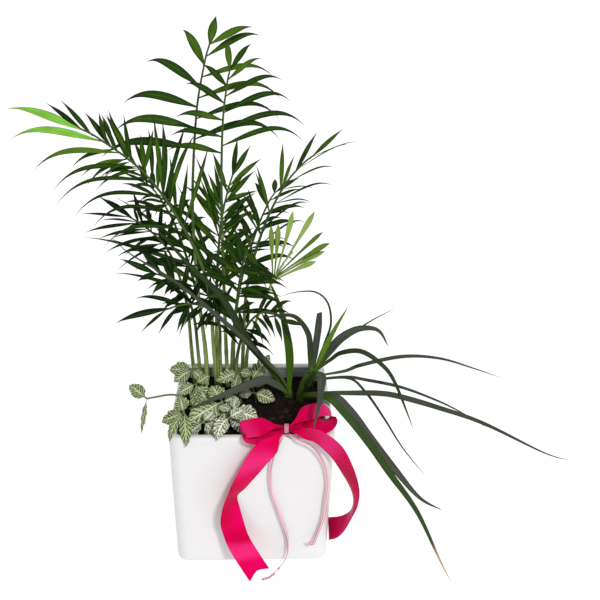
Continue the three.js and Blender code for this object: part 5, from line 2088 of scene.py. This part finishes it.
RUNS = [
    Run("left_loop", 2, [(27, -67.5, 138.3), (17, -68, 139.3), (5, -67, 138.4), (-5, -66.8, 136.4),
        (-8.2, -67, 134), (-4, -68.3, 131.2), (8, -68.8, 131), (27, -67.5, 136.1)], [(0, -0.9, -0.4),
        (0.1, -0.9, -0.35), (0.25, -0.9, -0.3), (0.4, -0.88, -0.2), (0.42, -0.9, -0.13), (0.4, -0.9, -0.13),
        (0.2, -0.9, -0.2), (0, -0.9, -0.4)]),
    Run("right_loop", 2, [(30, -67.5, 138.3), (39, -65, 145), (50, -60.5, 149.6), (61, -57.5, 149),
        (66.5, -60, 143.2), (60, -65, 138.8), (46, -66, 140), (30, -67.5, 136.1)], [(0, -0.8, -0.5),
        (0.1, -0.9, -0.3), (0.1, -0.95, -0.1), (0.1, -1, 0), (0.1, -1, 0), (0.1, -0.95, -0.15),
        (0.05, -0.9, -0.3), (0, -0.8, -0.5)]),
    Run("left_tail", 1, [(26.4, -68.6, 136.8), (20, -76, 133.5), (7.1, -78.5, 118.2), (-3.1, -78, 101),
        (-11, -78, 87.5), (-18, -79.5, 75), (-18.2, -79.5, 59.8), (-15.6, -79, 44.9), (-10.6, -82, 31.8),
        (-1, -88, 17.6), (6.5, -93, 7.8)], [(0.4, 0, -0.9), (0.55, 0.1, -0.8), (0.73, 0.2, -0.65),
        (0.66, 0.45, -0.6), (0.69, 0.62, -0.28), (0.55, 0.83, -0.1), (0.82, 0.55, 0), (0.95, 0.12, 0.28),
        (0.89, 0.15, 0.42), (0.85, 0.2, 0.5), (0.77, 0.24, 0.59)]),
    Run("right_tail", 1, [(30.4, -68.6, 136.8), (42.1, -76, 137.6), (53.8, -80, 136.8),
        (66.4, -81.5, 126.7), (75.3, -81, 112.2), (83, -77.5, 92.9), (86.6, -74, 77.4), (87.5, -70, 61.6),
        (84.4, -65, 43.9), (77.9, -56, 29.2), (70.4, -44, 18), (70.6, -33, 10)], [(0.4, 0, 0.9),
        (0.4, -0.45, 0.8), (0.5, -0.55, 0.65), (0.59, -0.55, 0.6), (0.5, -0.69, 0.53), (0.38, -0.82, 0.44),
        (0.2, -0.91, 0.37), (-0.05, -0.98, 0.2), (-0.3, -0.9, -0.3), (-0.2, -0.8, -0.5), (0, -0.75, -0.66),
        (0, -0.7, -0.7)]),
]

TIE_ENDS = [
    Run("left", 0, [(26.6, -71, 133.4), (23.4, -73.9, 129.5), (18.8, -74.3, 119), (15.3, -73, 100.5),
        (16.4, -72.5, 79.2), (23.1, -72, 55.8), (29.4, -71.5, 34.8), (31.4, -71.5, 21.3),
        (29.7, -73.5, 9.5), (23.5, -79, 3), (16, -87.5, 1.4), (8.5, -91.5, 1.4)], [(1, 0, 0.3),
        (0.9, 0, -0.2), (1, 0, 0), (1, 0, 0.1), (1, 0, 0.3), (0.95, 0.2, 0.25), (0.8, 0.5, 0.1),
        (0.5, 0.8, 0), (0.5, 0.8, 0.1), (0.6, 0.6, 0.3), (0.5, 0.75, 0), (0.5, 0.75, 0)]),
    Run("right", 0, [(30.2, -71, 133.4), (39.5, -76.2, 131), (49.4, -75.5, 124.9), (56.8, -74, 113.9),
        (61.9, -73.5, 101.4), (64.3, -73, 86), (63.5, -73, 71.8), (61.6, -72.5, 51.9), (56.8, -72.5, 34.1),
        (52.9, -73.5, 24.5), (49.4, -75.5, 28.4)], [(0.5, 0, 0.85), (0.6, 0, 0.8), (0.8, -0.1, 0.6),
        (0.9, -0.2, 0.5), (0.9, -0.3, 0.3), (0.9, -0.3, 0.1), (1, 0, -0.1), (0.95, 0, -0.3), (0.9, 0, -0.4),
        (0.5, -0.2, -0.85), (-0.6, 0, -0.8)]),
]


@dataclass
class Ribbon:
    """A ribbon, made as a closed strip along each run."""

    width: float
    thick: float
    step: float
    places: int

    def strip(self, draft: Draft, run: Run, notch: float = 0.0) -> float:
        """Adds the strip of one run.

        Args:
            draft: the mesh that it goes into.
            run: the run.
            notch: how deep the end is cut in.

        Returns:
            The run's length in millimetres.
        """
        middle, cross = Line(run.line), Line(run.across)
        rows = round(middle.length / self.step) + 1
        along = np.linspace(0, 1, rows)
        t, tangent = middle.share(along), middle.heading(along)
        across = cross.point(t)
        across = unit(across - tangent * np.sum(across * tangent, axis=1, keepdims=True))
        normal = np.cross(tangent, across)[:, None]
        x = np.linspace(-1, 1, self.places)
        at = along * middle.length
        near = np.minimum(at, middle.length - at) if run.ends == 2 else at
        sideways = across[:, None] * (self.wide(near)[:, None] / 2 * x[None])[..., None]
        centre = middle.point(t)[:, None] + sideways + normal * self.lift(near, x)[..., None]
        if notch:
            depth = notch * ease(at, middle.length - 2 * notch, middle.length)
            centre -= tangent[:, None] * (depth[:, None] * (1 - np.abs(x))[None])[..., None]
        offset = normal * self.thick / 2
        rings = np.concatenate([centre + offset, (centre - offset)[:, ::-1]], axis=1)
        sides = np.concatenate([x, x[::-1]])
        draft.rings(rings, across=np.tile(sides, rows), along=np.repeat(at * MM, len(sides)))
        return middle.length

    def wide(self, near: Array) -> Array:
        """The ribbon's width at distances from the knot."""
        return np.full_like(near, self.width)

    def lift(self, near: Array, x: Array) -> Array:
        """How high the ribbon stands off its flat, by distance from the knot and place across."""
        raise NotImplementedError


@dataclass
class Bow(Ribbon):
    """The satin bow: two loops and two tails gathered at the knot."""

    width: float = 20.0
    thick: float = 0.4
    step: float = 1.6
    places: int = 25
    waist: float = 3.0
    neck: float = 5.0
    flare: float = 17.0
    pleats: float = 2.0
    pleat_height: float = 0.7
    pleat_phase: float = 0.6
    crease: float = 0.2
    crease_reach: float = 14.0
    notch: float = 5.0

    def build(self) -> None:
        draft = Draft()
        total = sum(self.strip(draft, run, self.notch if run.ends == 1 else 0.0) for run in RUNS)
        bow = draft.build("satin_bow", Satin().material())
        settle(bow, Slot.BOW, "ribbon_bow")

    def opened(self, near: Array) -> Array:
        """How far open the ribbon is at distances from the knot, from 0 to 1."""
        return ease(near, self.neck, self.neck + self.flare)

    def wide(self, near: Array) -> Array:
        """The ribbon's width at distances from the knot."""
        return between(self.waist, self.width, self.opened(near))

    def lift(self, near: Array, x: Array) -> Array:
        """The height of the pleats, by distance from the knot and place across."""
        height = self.pleat_height * (1 - self.opened(near)) + self.crease * np.exp(-near / self.crease_reach)
        return height[:, None] * np.sin(x * math.pi * self.pleats + self.pleat_phase)[None]


@dataclass
class Tie(Ribbon):
    """The thin ribbon: the band round the bow's knot and its two hanging ends."""

    width: float = 2.4
    thick: float = 0.35
    step: float = 1.2
    places: int = 7
    bulge: float = 0.25
    path_points: int = 60
    band: float = 3.6
    radius: float = 3.4
    depth: float = 0.8
    clearance: float = 0.08
    swell: float = 0.72
    crumple: float = 0.2
    folds: int = 3
    ribs: float = 0.08
    rib_count: float = 7.0
    around: int = 48
    band_places: int = 9

    def build(self) -> None:
        """Makes the ends and the band."""
        finish = PaleTie().material()
        for run in TIE_ENDS:
            draft = Draft()
            length = self.strip(draft, run)
            piece = draft.build(f"{run.name}_tie_end", finish)
            settle(piece, Slot.TIE, f"tie_end_{run.name}")
            path = Line(run.line).at(np.linspace(0, 1, self.path_points)) * MM
        self.knot(finish)

    def lift(self, near: Array, x: Array) -> Array:
        """How far the ribbon bulges, by distance from the knot and place across."""
        return self.bulge * (1 - x**2)[None] * np.ones((len(near), 1))

    def knot(self, finish: Material) -> None:
        """Makes the band, crumpled as a tied ribbon is.

        Args:
            finish: its material.
        """
        angles = np.linspace(0, math.tau, self.around, endpoint=False)[:, None]
        x = np.linspace(-1, 1, self.band_places)
        crumpled = self.crumple * np.sin(angles * self.folds) * x + self.ribs * np.cos(x * self.rib_count)
        outer = self.radius + self.depth * (self.swell + crumpled)
        inner = np.full_like(outer, self.radius + self.clearance)
        profile = np.concatenate([outer, inner], axis=1)
        lengthwise = np.broadcast_to(np.concatenate([x, x[::-1]]) * self.band / 2, profile.shape)
        rings = np.stack([lengthwise, profile * np.cos(angles), profile * np.sin(angles)], axis=-1) + KNOT
        draft = Draft()
        draft.rings(rings, hoop=True, along=np.repeat(angles * self.radius * MM, profile.shape[1]))
        settle(draft.build("tie_band_wrap", finish), Slot.TIE, "tie_band")


# ---- The whole planting ----


def main() -> None:
    """Builds the whole planting."""
    logging.basicConfig(level=logging.INFO, format="%(message)s")
    studio = Studio()
    studio.camera()
    for part in (Tie(), Pot(), Bow(), PottedSoil(), Palm(), Dracaena(), Fittonia()):
        part.build()
    studio.floor()
    studio.light()


if __name__ == "__main__":
    main()
